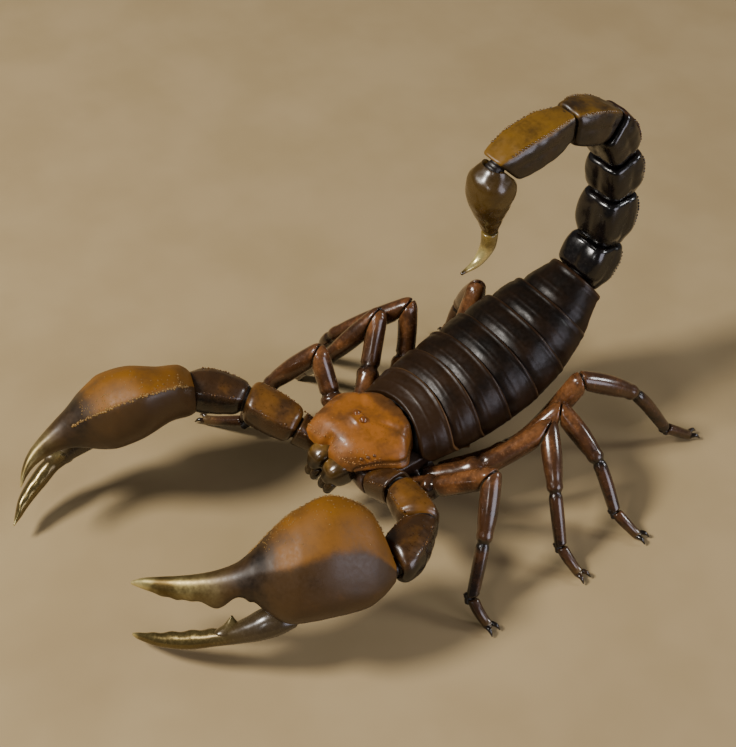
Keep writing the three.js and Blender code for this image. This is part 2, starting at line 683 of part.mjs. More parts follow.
/** A leg in three pieces, cut across its knee and above its foot, with two small claws at its tip. */
function leg(name, clearances) {
  const joints = LEGS[name].map(point);
  const [root, bend, knee, patella, tibia, foot] = joints;
  const rootCut = bend.clone().sub(root);
  const kneeCut = mitre(bend, knee, patella);
  const ankleCut = mitre(patella, tibia, foot);
  const inside = root.clone().addScaledVector(rootCut, -0.15);
  const femur = (grow) =>
    limb([inside, bend, knee], [1.5, 1.8, 1.7, 1.8, 1.4], [1.5, 1.9, 1.8, 1.9, 1.4], { rows: 5, grow });
  clearances.push(ahead(femur(GAP), root, rootCut, -GAP / 2));
  const upper = fuse([femur(0), ball(knee, 1.6, { sides: 7, rows: 4 })]);
  const lower = fuse([
    ball(knee, 1.6, { sides: 7, rows: 4 }),
    limb(
      [
        knee,
        knee.clone().lerp(patella, 0.6),
        patella.clone().lerp(tibia, 0.12),
        tibia.clone().lerp(foot, 0.15),
      ],
      [1.3, 1.7, 1.6, 1.2, 1.15, 1.0],
      [1.35, 1.8, 1.7, 1.25, 1.2, 1.0],
      { rows: 7, sides: 7 },
    ),
  ]);
  const out = foot.clone().sub(tibia).setZ(0).normalize();
  const toe = foot.clone().setZ(0.72);
  const aside = out.clone().cross(UP);
  const hooks = [-1, 1].map((sign) => {
    const from = toe.clone().addScaledVector(out, -0.3).addScaledVector(aside, sign * 0.35);
    const over = toe.clone().addScaledVector(out, 1.0).addScaledVector(aside, sign * 0.75).setZ(1.0);
    const tip = toe.clone().addScaledVector(out, 1.8).addScaledVector(aside, sign * 0.95).setZ(0.25);
    return limb([from, over, tip], [0.45, 0.36, 0.15], [0.45, 0.36, 0.15], { sides: 4, rows: 2 });
  });
  const heel = tibia.clone().lerp(toe, 0.5).setZ(tibia.z * 0.5 + 0.6);
  const end = toe.clone().addScaledVector(out, 0.6);
  const shaft = limb(
    [tibia.clone().lerp(patella, 0.1), heel, toe, end],
    [0.95, 0.95, 0.85, 0.8, 0.4],
    [0.95, 1.0, 0.9, 0.82, 0.4],
    { rows: 5, sides: 7 },
  );
  const tarsus = fuse([shaft, ...hooks]);
  const floor = new THREE.Vector3(0, 0, 0);
  return [
    [`leg_${name}_femur`, largest(behind(ahead(upper, root, rootCut), knee, kneeCut)), "leg"],
    [`leg_${name}_tibia`, largest(behind(ahead(lower, knee, kneeCut), tibia, ankleCut)), "leg"],
    [`leg_${name}_tarsus`, largest(ahead(ahead(tarsus, tibia, ankleCut), floor, UP, 0)), "leg"],
  ];
}

// ---------------------------------------------------------------- tail

/** One tail segment between two joints, narrow at its ends, with granular keels on its outer side. */
function tailSegment(index) {
  const joints = TAIL_JOINTS.map(([y, z]) => new THREE.Vector3(0, y, z));
  const from = joints[index];
  const to = joints[index + 1];
  const before = index > 0 ? joints[index - 1] : from.clone().sub(trunkCurve.getTangentAt(1));
  const after = index + 2 < joints.length ? joints[index + 2] : point([0, ...VESICLE.line[1]]);
  const axis = to.clone().sub(from).normalize();
  const outer = axis.clone().cross(LEFT).normalize();
  const w = TAIL_HALF_WIDTH[index];
  const h = TAIL_HALF_HEIGHT[index];
  const keels = (u, angle) => 1 + 0.05 * Math.cos(4 * (angle - Math.PI / 4));
  const barrel = limb(
    [from.clone().addScaledVector(axis, -1.4), to.clone().addScaledVector(axis, 1.4)],
    [0.68 * w, 0.8 * w, 0.97 * w, w, 0.99 * w, 0.88 * w, 0.7 * w],
    [0.68 * h, 0.8 * h, 0.97 * h, h, 0.99 * h, 0.88 * h, 0.7 * h],
    { up: outer, sides: 14, rows: 6, squareness: 2.5, swell: keels },
  );
  const length = from.distanceTo(to);
  const bumps = [];
  const count = Math.floor((length - 2.4) / TAIL_GRANULES.pitch);
  const draw = draws(11 + index);
  for (const sign of [-1, 1]) {
    for (let i = 0; i < count; i++) {
      const along = 1.6 + i * TAIL_GRANULES.pitch;
      const bulge = 0.86 + 0.14 * Math.sin((Math.PI * along) / length);
      const place = from
        .clone()
        .addScaledVector(axis, along)
        .addScaledVector(LEFT, sign * 0.66 * w * bulge)
        .addScaledVector(outer, 0.84 * h * bulge);
      bumps.push(granule(place, TAIL_GRANULES.radius * (0.9 + 0.3 * draw())));
    }
  }
  const start = index > 0 ? mitre(before, from, to) : trunkCurve.getTangentAt(1);
  const whole = fuse([barrel, ...bumps]);
  return largest(behind(ahead(whole, from, start), to, mitre(from, to, after)));
}

/** The bulb at the end of the tail. */
function vesicle() {
  const line = VESICLE.line.map(([y, z]) => new THREE.Vector3(0, y, z));
  const high = VESICLE.half.map((v) => 0.96 * v);
  const bulb = limb(line, VESICLE.half, high, { up: new THREE.Vector3(0, -1, 0.1), sides: 14, rows: 9 });
  const last = TAIL_JOINTS.length - 1;
  const before = new THREE.Vector3(0, ...TAIL_JOINTS[last - 1]);
  const tip = line[line.length - 1];
  const next = new THREE.Vector3(0, ...STING.line[1]);
  const started = ahead(bulb, line[0], mitre(before, line[0], line[1]));
  return largest(behind(started, tip, mitre(line[2], tip, next)));
}

/** The hooked sting, solid to its point. */
function sting() {
  const line = STING.line.map(([y, z]) => new THREE.Vector3(0, y, z));
  const hook = limb(line, STING.half, STING.half, { up: LEFT, sides: 10, rows: 8 });
  const before = new THREE.Vector3(0, ...VESICLE.line[2]);
  return largest(ahead(hook, line[0], mitre(before, line[0], line[1])));
}

// ---------------------------------------------------------------- finishes and assembly

const FINISHES = {
  carapace: { color: 0xa86a2c, roughness: 0.3 },
  eye: { color: 0x120c08, roughness: 0.1 },
  coxa: { color: 0x5a3a1e, roughness: 0.45 },
  jaw: { color: 0x6e5a2a, roughness: 0.3 },
  trunk: { color: 0x241a14, roughness: 0.3 },
  pectine: { color: 0xb08a58, roughness: 0.5 },
  tail: { color: 0x1c1815, roughness: 0.3 },
  tail_end: { color: 0x8a5a1c, roughness: 0.35 },
  vesicle: { color: 0x4e3f1e, roughness: 0.3 },
  sting: { color: 0xa89a5a, roughness: 0.25 },
  arm: { color: 0x6a4418, roughness: 0.35 },
  claw: { color: 0xa5691c, roughness: 0.4 },
  finger: { color: 0x6e6238, roughness: 0.3 },
  leg: { color: 0x70381c, roughness: 0.3 },
};

/** A named mesh from a solid. */
function meshOf(name, solid, finish) {
  const { vertProperties, triVerts, numProp } = solid.getMesh();
  const geometry = new THREE.BufferGeometry();
  const count = vertProperties.length / numProp;
  const positions = new Float32Array(count * 3);
  for (let i = 0; i < count; i++) {
    positions.set(vertProperties.subarray(i * numProp, i * numProp + 3), i * 3);
  }
  geometry.setAttribute("position", new THREE.BufferAttribute(positions, 3));
  geometry.setIndex(new THREE.BufferAttribute(triVerts, 1));
  geometry.computeVertexNormals();
  const material = new THREE.MeshStandardMaterial({ ...FINISHES[finish], metalness: 0 });
  const mesh = new THREE.Mesh(geometry, material);
  mesh.name = name;
  return mesh;
}

const roof = fuse([shield(1.5 * GAP), ...sideEyes(1.5 * GAP)]);
const cover = ahead(roof, new THREE.Vector3(0, 0, CARAPACE.base), UP, -GAP / 2);
const clearances = [jawBase(1, 2 * GAP), jawBase(-1, 2 * GAP)];
const limbs = [
  ...arm("left", cover, clearances),
  ...arm("right", cover, clearances),
  ...Object.keys(LEGS).flatMap((name) => leg(name, clearances)),
];
const pieces = [["carapace", carapace(), "carapace"]];
for (const [side, sign] of [["left", 1], ["right", -1]]) {
  pieces.push([`eye_${side}`, ball(eyePlace(sign), EYE.radius, { sides: 8, rows: 6 }), "eye"]);
  pieces.push([`chelicera_${side}`, chelicera(sign, cover), "jaw"]);
}
pieces.push(["prosoma_underside", coxae(clearances), "coxa"]);
pieces.push(["pectine_left", pectine(1), "pectine"], ["pectine_right", pectine(-1), "pectine"]);
trunkRings().forEach((ring, i) => pieces.push([`mesosoma_${i + 1}`, ring, "trunk"]));
for (let i = 0; i < 6; i++) {
  pieces.push([`tail_${i + 1}`, tailSegment(i), i < 4 ? "tail" : "tail_end"]);
}
pieces.push(["vesicle", vesicle(), "vesicle"], ["sting", sting(), "sting"], ...limbs);

const animal = new THREE.Group();
for (const [name, solid, finish] of pieces) animal.add(meshOf(name, solid, finish));

// The origin is on the floor under the middle of the animal's box.
const box = new THREE.Box3().setFromObject(animal);
const middle = box.getCenter(new THREE.Vector3());
animal.position.set(-middle.x, -middle.y, -box.min.z);

const scorpion = new THREE.Group();
scorpion.add(animal);

export default scorpion;
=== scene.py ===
"""A burrowing scorpion at life size, standing with both claws forward and its tail arched over its back.

Every plate of the animal is drawn out ring by ring, laid to its form and closed, and then dressed in a
glossy shell finish. The tables below are in millimetres, with the animal facing -Y and its left side at +X.
"""

import logging
import math
from contextlib import contextmanager
from dataclasses import dataclass, replace
from enum import Enum
from typing import Callable, Iterator, Optional, Sequence, Union

import bpy
import numpy as np
from mathutils import Matrix, Vector


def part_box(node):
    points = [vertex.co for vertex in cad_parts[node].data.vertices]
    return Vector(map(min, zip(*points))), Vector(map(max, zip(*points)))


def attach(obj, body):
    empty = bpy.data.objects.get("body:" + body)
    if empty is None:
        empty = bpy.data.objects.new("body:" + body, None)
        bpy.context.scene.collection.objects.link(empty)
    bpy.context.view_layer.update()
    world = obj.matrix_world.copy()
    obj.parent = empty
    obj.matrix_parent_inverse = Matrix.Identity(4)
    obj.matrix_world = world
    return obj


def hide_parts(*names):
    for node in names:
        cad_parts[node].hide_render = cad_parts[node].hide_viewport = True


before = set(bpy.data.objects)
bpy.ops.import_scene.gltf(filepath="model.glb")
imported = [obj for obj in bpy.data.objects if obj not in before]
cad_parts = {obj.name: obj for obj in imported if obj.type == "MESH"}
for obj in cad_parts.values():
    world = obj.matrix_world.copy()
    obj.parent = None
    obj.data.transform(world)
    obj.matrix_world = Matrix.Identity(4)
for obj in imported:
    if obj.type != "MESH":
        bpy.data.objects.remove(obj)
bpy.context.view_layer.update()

Array = np.ndarray
Number = Union[float, Array]
Colour = tuple[float, float, float]
Point = Sequence[float]
Piece = bpy.types.Object
Socket = bpy.types.NodeSocket
Surface = Callable[[Array, Array], Array]
Relief = Callable[[Array, Array, Array], Array]

MM = 0.001
GAP = 0.3
UP = (0.0, 0.0, 1.0)
LEFTWARD = (1.0, 0.0, 0.0)
EYES_MIDDLE = (-1.2, -0.6, 20.15)

log = logging.getLogger("scorpion")


class Side(Enum):
    """The two sides of the animal."""

    LEFT = "left"
    RIGHT = "right"

    @property
    def sign(self) -> int:
        """+1 on the left side and -1 on the right."""
        return 1 if self is Side.LEFT else -1


class Mask(Enum):
    """What a plate's own attributes tell its finish, point by point."""

    TONE = "tone"
    GILT = "gilt"
    GRIT = "grit"


Masks = Callable[[Array, Array, Array], dict[Mask, Array]]


# ------------------------------------------------------------------ numbers and curves


def vec(point: Point) -> Array:
    """A point as an array."""
    return np.asarray(point, float)


def unit(v: Array) -> Array:
    """A direction of length one, or an array of them."""
    return v / np.maximum(np.linalg.norm(v, axis=-1, keepdims=True), 1e-9)


def hump(offset: Number, width: float) -> Number:
    """A smooth hump: 1 in the middle, falling off over a width to either side."""
    return np.exp(-((offset / width) ** 2))


def humps_round(angle: Array, spots: Sequence[float], width: float) -> Array:
    """A smooth hump at each of some angles round a rim."""
    return sum(hump(np.angle(np.exp(1j * (angle - at))), width) for at in spots)


def ease(low: float, high: float, value: Number) -> Number:
    """A smooth step from 0 at low to 1 at high."""
    t = np.clip((np.asarray(value, float) - low) / (high - low), 0, 1)
    return t * t * (3 - 2 * t)


def quarter(share: Array) -> Array:
    """A quarter round: 1 at nought, falling to nought at one."""
    return 1 - np.sqrt(1 - (1 - np.clip(share, 0, 1)) ** 2)


def reader(values: Sequence[float]) -> Callable[[Number], Array]:
    """A smooth value read anywhere from evenly spaced ones.

    Args:
        values: The values, evenly spaced over 0 to 1.

    Returns:
        A function of a share from 0 to 1.
    """
    v = np.asarray(values, float)
    last = len(v) - 1

    def read(u: Number) -> Array:
        """The value at each share.

        Args:
            u: The shares.

        Returns:
            The values.
        """
        t = np.clip(np.asarray(u, float), 0, 1) * last
        i = np.minimum(np.floor(t).astype(int), last - 1)
        w = t - i
        p0, p1 = v[np.maximum(i - 1, 0)], v[i]
        p2, p3 = v[i + 1], v[np.minimum(i + 2, last)]
        a, b = (p2 - p0) * 0.5, (p3 - p1) * 0.5
        cubic = (2 * p1 - 2 * p2 + a + b) * w**3 + (-3 * p1 + 3 * p2 - 2 * a - b) * w**2
        return cubic + a * w + p1

    return read


def rim(angle: Array, squareness: float) -> tuple[Array, Array]:
    """Points on the unit rim of a rounded box.

    Args:
        angle: Where on the rim, in radians.
        squareness: 2 is an ellipse, and more is squarer.

    Returns:
        The shares across and upward.
    """
    power = 2 / squareness
    c, s = np.cos(angle), np.sin(angle)
    return np.sign(c) * np.abs(c) ** power, np.sign(s) * np.abs(s) ** power


def mitre(before: Array, joint: Array, after: Array) -> Array:
    """The direction of the cut between two lengths that meet at a joint."""
    return unit(unit(joint - before) + unit(after - joint))


def beyond(start: Array, end: Array, by: float) -> Array:
    """A point on the line from start to end, further on than the end."""
    return end + unit(end - start) * by


def ripple(p: Array, seed: int, pitch: float) -> Array:
    """A soft unevenness over a surface, the same on every run.

    Args:
        p: Points in millimetres.
        seed: Which unevenness.
        pitch: The rough distance between its swellings.

    Returns:
        A value from about -1 to 1 at each point.
    """
    draw = np.random.default_rng(seed)
    total = np.zeros(p.shape[:-1])
    for _ in range(6):
        way = unit(draw.normal(size=3)) * (2 * math.pi / pitch) * draw.uniform(0.6, 1.6)
        total += np.sin(p @ way + draw.uniform(0, 6.28))
    return total / 3.2


def uneven(depth: float, seed: int, pitch: float) -> Relief:
    """A relief of one soft unevenness."""
    return lambda u, angle, p: depth * ripple(p, seed, pitch)


def shaded(root: float, tip: float) -> Masks:
    """Masks of a tone that runs evenly from the root of a length to its tip."""
    return lambda u, angle, p: {Mask.TONE: root + (tip - root) * u}


@dataclass(frozen=True)
class Track:
    """A smooth line through points, on which a length of the animal is drawn out."""

    points: Sequence[Point]

    def at(self, u: Number) -> Array:
        """Points at shares of the line.

        Args:
            u: The shares, from 0 to 1.

        Returns:
            The points, with one more axis than the shares.
        """
        p = np.asarray(self.points, float)
        u = np.clip(np.asarray(u, float), 0, 1)
        if len(p) == 2:
            return p[0] + (p[1] - p[0]) * u[..., None]
        grown = np.vstack([2 * p[0] - p[1], p, 2 * p[-1] - p[-2]])
        t = u * (len(p) - 1)
        i = np.minimum(np.floor(t).astype(int), len(p) - 2)
        w = (t - i)[..., None]
        a, b, c, d = grown[i], grown[i + 1], grown[i + 2], grown[i + 3]
        s0, s1, s2 = (np.maximum(np.linalg.norm(y - x, axis=-1, keepdims=True) ** 0.5, 1e-2)
                      for x, y in ((a, b), (b, c), (c, d)))
        m1 = ((b - a) / s0 - (c - a) / (s0 + s1) + (c - b) / s1) * s1
        m2 = ((c - b) / s1 - (d - b) / (s1 + s2) + (d - c) / s2) * s1
        cubic = (2 * b - 2 * c + m1 + m2) * w**3 + (-3 * b + 3 * c - 2 * m1 - m2) * w**2
        return cubic + m1 * w + b

    def heading(self, u: Number) -> Array:
        """The direction of the line at shares of it."""
        return unit(self.at(np.asarray(u) + 1e-4) - self.at(np.asarray(u) - 1e-4))

    def runs(self) -> tuple[Array, Array]:
        """Measures the line.

        Returns:
            Shares of the line, and the length run up to each of them.
        """
        shares = np.linspace(0, 1, 401)
        steps = np.linalg.norm(np.diff(self.at(shares), axis=0), axis=1)
        return shares, np.concatenate([[0], np.cumsum(steps)])

    def even(self, u: Array) -> Array:
        """The shares that lie at equal distances along the line."""
        shares, run = self.runs()
        return np.interp(u, run / run[-1], shares)

    def length(self) -> float:
        """The length of the line."""
        return float(self.runs()[1][-1])


@dataclass(frozen=True)
class Limb:
    """A limb or finger along a track, with its half width and half height read along it.

    A limb without a height of its own is as high as it is wide.
    """

    track: Track
    width: Sequence[float]
    height: Optional[Sequence[float]] = None
    up: Point = UP
    squareness: float = 2.3
    swell: Optional[Surface] = None

    def __call__(self, u: Array, angle: Array) -> Array:
        """Points of the skin.

        Args:
            u: Shares of the length.
            angle: Angles round it.

        Returns:
            The points.
        """
        u, angle = np.broadcast_arrays(u, angle)
        heading = self.track.heading(u)
        side = unit(np.cross(heading, vec(self.up)))
        top = unit(np.cross(side, heading))
        x, y = rim(angle, self.squareness)
        out = self.swell(u, angle) if self.swell else 1.0
        wide = (x * reader(self.width)(u) * out)[..., None]
        high = (y * reader(self.width if self.height is None else self.height)(u) * out)[..., None]
        return self.track.at(u) + side * wide + top * high


def knuckled(surface: Surface, joint: Array, onward: Array, radius: float) -> Surface:
    """A surface whose part past a joint is drawn in to a ball round it.

    Args:
        surface: The surface.
        joint: The middle of the joint.
        onward: The direction past the joint.
        radius: The radius of the ball.

    Returns:
        The rounded surface.
    """

    def rounded(u: Array, angle: Array) -> Array:
        """Lays out the rounded surface.

        Args:
            u: Shares of the length.
            angle: Angles round it.

        Returns:
            The points.
        """
        p = surface(u, angle)
        away = p - joint
        reach = np.linalg.norm(away, axis=-1, keepdims=True)
        ball = joint + away / np.maximum(reach, 1e-6) * np.minimum(reach, radius)
        past = ease(-0.6, 0.6, away @ unit(onward))[..., None]
        return p * (1 - past) + ball * past

    return rounded


# ------------------------------------------------------------------ the bench


def row_origin() -> Array:
    """Where the tables' own zero lies in the row frame, in millimetres."""
    middles = [(vec(low) + vec(high)) / 2 for low, high in (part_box("eye_left"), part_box("eye_right"))]
    return (middles[0] + middles[1]) / 2 / MM - vec(EYES_MIDDLE)


ORIGIN = row_origin()


class Bench:
    """The steps of modelling by hand that the plates share."""

    @staticmethod
    def clear() -> None:
        """Leaves edit mode with nothing selected."""
        if bpy.context.object and bpy.context.object.mode != "OBJECT":
            bpy.ops.object.mode_set(mode="OBJECT")
        bpy.ops.object.select_all(action="DESELECT")

    @staticmethod
    def take(piece: Piece) -> None:
        """Makes one piece the only one selected, and active.

        Args:
            piece: The piece.
        """
        Bench.clear()
        piece.select_set(True)
        bpy.context.view_layer.objects.active = piece

    @staticmethod
    @contextmanager
    def opened(piece: Piece, vertices: Optional[Sequence[int]] = None) -> Iterator[None]:
        """Opens a piece in edit mode, and leaves that mode at the end.

        Args:
            piece: The piece.
            vertices: The vertices to select; all of them when left out.
        """
        Bench.take(piece)
        bpy.ops.object.mode_set(mode="EDIT")
        bpy.ops.mesh.select_mode(type="VERT")
        bpy.ops.mesh.select_all(action="SELECT" if vertices is None else "DESELECT")
        if vertices is not None:
            bpy.ops.object.mode_set(mode="OBJECT")
            chosen = np.zeros(len(piece.data.vertices), bool)
            chosen[list(vertices)] = True
            piece.data.vertices.foreach_set("select", chosen)
            bpy.ops.object.mode_set(mode="EDIT")
        yield
        bpy.ops.object.mode_set(mode="OBJECT")

    @staticmethod
    def tube(name: str, sides: int, rows: int) -> Piece:
        """Draws a ring out into an open tube.

        Args:
            name: The name of the piece.
            sides: Points round the ring.
            rows: Steps along the tube.

        Returns:
            The tube, whose vertices run ring by ring.
        """
        Bench.clear()
        bpy.ops.mesh.primitive_circle_add(vertices=sides, radius=MM, fill_type="NOTHING")
        piece = bpy.context.object
        piece.name = piece.data.name = name
        with Bench.opened(piece):
            bpy.ops.mesh.extrude_repeat(steps=rows, offset=(0, 0, MM))
        return piece

    @staticmethod
    def lay(piece: Piece, points: Array) -> None:
        """Moves a piece's vertices.

        Args:
            piece: The piece.
            points: Their new places, in millimetres.
        """
        metres = (points.reshape(-1, 3) + ORIGIN) * MM
        piece.data.vertices.foreach_set("co", metres.astype(np.float32).ravel())
        piece.data.update()

    @staticmethod
    def mark(piece: Piece, masks: dict[Mask, Number]) -> None:
        """Writes a value for each mask at each vertex.

        Args:
            piece: The piece.
            masks: A number, or an array of one value for each vertex; a mask left out is nought.
        """
        values = np.empty(len(piece.data.vertices), np.float32)
        for mask in Mask:
            values[:] = np.ravel(masks.get(mask, 0.0))
            layers = piece.data.attributes
            layer = layers.get(mask.value) or layers.new(mask.value, "FLOAT", "POINT")
            layer.data.foreach_set("value", values)

    @staticmethod
    def close(piece: Piece, ring: Sequence[int], inset: float, depth: float) -> None:
        """Closes an open ring with an inset face drawn in or out and a pole in its middle.

        Args:
            piece: The piece.
            ring: The vertices of the ring.
            inset: Width of the inset, in millimetres.
            depth: How far the middle stands out, in millimetres; less than nought is a hollow.
        """
        with Bench.opened(piece, ring):
            bpy.ops.mesh.edge_face_add()
            bpy.ops.mesh.select_mode(type="FACE")
            bpy.ops.mesh.normals_make_consistent(inside=False)
            bpy.ops.mesh.inset(thickness=inset * MM, depth=depth * MM)
            bpy.ops.mesh.poke()

    @staticmethod
    def face_out(piece: Piece) -> None:
        """Merges doubles, turns every face outward and smooths the shading.

        Args:
            piece: The piece.
        """
        with Bench.opened(piece):
            bpy.ops.mesh.remove_doubles(threshold=2e-6)
            bpy.ops.mesh.normals_make_consistent(inside=False)
        bpy.ops.object.shade_smooth()

    @staticmethod
    def join(pieces: Sequence[Piece]) -> Piece:
        """Joins pieces into the first of them.

        Args:
            pieces: The pieces.

        Returns:
            The joined piece.
        """
        Bench.clear()
        for piece in pieces:
            piece.select_set(True)
        bpy.context.view_layer.objects.active = pieces[0]
        if len(pieces) > 1:
            bpy.ops.object.join()
        return pieces[0]

    @staticmethod
    def modify(piece: Piece, kind: str, **settings: object) -> None:
        """Adds a modifier and applies it.

        Args:
            piece: The piece.
            kind: The kind of modifier.
            settings: Its settings.
        """
        Bench.take(piece)
        modifier = piece.modifiers.new(kind.title(), kind)
        for key, value in settings.items():
            setattr(modifier, key, value)
        bpy.ops.object.modifier_apply(modifier=modifier.name)


@dataclass(frozen=True)
class Cut:
    """A plane that ends a plate; the plate keeps what lies on the side its direction points to."""

    place: Point
    inward: Point

    def depth(self, p: Array) -> Array:
        """How deep points lie inside the plane, past half the gap."""
        return (p - vec(self.place)) @ unit(vec(self.inward)) - GAP / 2


@dataclass
class Plate:
    """A plate or a length of limb, drawn out ring by ring along its form and closed at both ends."""

    name: str
    surface: Surface
    sides: int = 48
    rows: int = 40
    start: Optional[Cut] = None
    end: Optional[Cut] = None
    lip: float = 0.35
    masks: Optional[Masks] = None
    relief: Optional[Relief] = None
    flat_ends: bool = False

    @staticmethod
    def crossings(plane: Optional[Cut], shares: Array, grid: Array) -> Array:
        """Where each line along a plate comes in through the cut at its end.

        Args:
            plane: The cut, or nothing for an end without one.
            shares: Shares of the length, from that end to the middle.
            grid: Points at those shares on each line.

        Returns:
            A share for each line.
        """
        found = np.full(grid.shape[1], shares[0])
        for j, line in enumerate(plane.depth(grid).T if plane else ()):
            out = np.nonzero(line[:-1] < 0)[0]
            if len(out):
                a, b = line[out[-1]], line[out[-1] + 1]
                near, far = shares[out[-1]], shares[out[-1] + 1]
                found[j] = near + (far - near) * (-a / max(b - a, 1e-9))
        return found

    def spans(self, angles: Array) -> tuple[Array, Array]:
        """Finds where each line along the plate enters and leaves between its cuts.

        Args:
            angles: The angle of each line.

        Returns:
            The shares of the length where the lines enter, and where they leave.
        """
        fine = np.linspace(0, 1, 241)
        grid = self.surface(fine[:, None], angles[None, :])
        half = len(fine) // 2
        return (self.crossings(self.start, fine[:half + 1], grid[:half + 1]),
                self.crossings(self.end, fine[half - 1:][::-1], grid[half - 1:][::-1]))

    def stations(self, length: float) -> Array:
        """The shares of the length where rings stand, closer together on a rounded rim.

        Args:
            length: The length of the plate, in millimetres.

        Returns:
            The shares, from 0 to 1.
        """
        turn = np.sin(np.linspace(0, math.pi / 2, 6))
        edge = (1 - np.sqrt(np.maximum(1 - turn**2, 0))) * min(self.lip / length, 0.2)
        begin = edge if self.start or self.flat_ends else np.array([0.0])
        finish = 1 - edge[::-1] if self.end or self.flat_ends else np.array([1.0])
        middle = np.linspace(begin[-1], finish[0], self.rows)[1:-1]
        return np.concatenate([begin, middle, finish])

    def form(self) -> tuple[Array, Array, Array]:
        """Lays out the rings of the plate.

        Returns:
            The shares, the angles and the points of all rings.
        """
        angles = np.linspace(0, 2 * math.pi, self.sides, endpoint=False)
        first, last = self.spans(angles)
        ends = self.surface(np.array([[first.mean()], [last.mean()]]), angles[None, :]).mean(axis=1)
        shares = self.stations(max(float(np.linalg.norm(ends[1] - ends[0])), 0.5))
        u = first[None, :] + (last - first)[None, :] * shares[:, None]
        angle = np.broadcast_to(angles[None, :], u.shape)
        p = self.surface(u, angle)
        if self.relief:
            p = p + unit(p - p.mean(axis=1, keepdims=True)) * self.relief(u, angle, p)[..., None]
        half = shares < 0.5
        for plane, rows in ((self.start, half), (self.end, ~half)):
            if plane:
                p[rows] = self.turn_over(p[rows], plane)
        return u, angle, p

    def turn_over(self, p: Array, plane: Cut) -> Array:
        """Rounds the rim of the rings that lie near a cut.

        Args:
            p: The points of the rings.
            plane: The cut.

        Returns:
            The rounded points.
        """
        depth = np.clip(plane.depth(p), 0, self.lip)
        shrink = self.lip - np.sqrt(np.maximum(self.lip**2 - (self.lip - depth) ** 2, 0))
        inward = p.mean(axis=1, keepdims=True) - p
        normal = unit(vec(plane.inward))
        inward -= (inward @ normal)[..., None] * normal
        room = np.linalg.norm(inward, axis=-1)
        return p + unit(inward) * np.minimum(shrink, 0.45 * room)[..., None]

    def build(self) -> Piece:
        """Draws the plate out, lays it to its form and closes it.

        Returns:
            The finished mesh.
        """
        u, angle, p = self.form()
        last = len(p) - 1
        piece = Bench.tube(self.name, self.sides, last)
        Bench.lay(piece, p)
        Bench.mark(piece, self.masks(u, angle, p) if self.masks else {})
        for ring, plane in ((0, self.start), (last, self.end)):
            loop = range(ring * self.sides, (ring + 1) * self.sides)
            reach = float(np.linalg.norm(p[ring] - p[ring].mean(axis=0), axis=1).min())
            inset, depth = (0.3 * reach, -0.25) if plane or self.flat_ends else (0.45 * reach, 0.3 * reach)
            Bench.close(piece, loop, inset, depth)
        Bench.face_out(piece)
        return piece


@dataclass
class Beads:
    """Granules of shell: one is modelled and the rest are copies, each with its own mesh."""

    tone: float = 0.8
    gilt: float = 0.0
    flat: float = 0.8

    def model(self) -> Piece:
        """Shapes one granule of radius one millimetre, a little flattened and blunt.

        Returns:
            The granule.
        """
        Bench.clear()
        bpy.ops.mesh.primitive_ico_sphere_add(subdivisions=2, radius=MM)
        bead = bpy.context.object
        with Bench.opened(bead):
            bpy.ops.transform.resize(value=(1, 1, self.flat))
            bpy.ops.mesh.vertices_smooth(factor=0.4, repeat=1)
        bpy.ops.object.shade_smooth()
        return bead

    def set_on(self, host: Piece, places: Array, radii: Array, normals: Array) -> Piece:
        """Sets a granule on a host at each place.

        Args:
            host: The plate that carries them.
            places: Their middles, in millimetres.
            radii: Their radii, in millimetres.
            normals: The direction each one points to.

        Returns:
            The host with its granules joined to it.
        """
        bead = self.model()
        made = []
        for place, radius, normal in zip(places, radii, normals):
            grain = bead.copy()
            grain.data = bead.data.copy()
            turn = Vector(normal).to_track_quat("Z", "Y").to_matrix().to_4x4()
            spot = Matrix.Translation(Vector((place + ORIGIN) * MM))
            grain.data.transform(spot @ turn @ Matrix.Scale(float(radius), 4))
            bpy.context.collection.objects.link(grain)
            Bench.mark(grain, {Mask.TONE: self.tone, Mask.GILT: self.gilt})
            made.append(grain)
        bpy.data.objects.remove(bead)
        return Bench.join([host, *made])


# ------------------------------------------------------------------ finishes


def srgb(colour: Colour) -> Colour:
    """A colour as light, from the way it shows on a screen."""
    shares = (value / 255 for value in colour)
    return tuple(v / 12.92 if v <= 0.04045 else ((v + 0.055) / 1.055) ** 2.4 for v in shares)


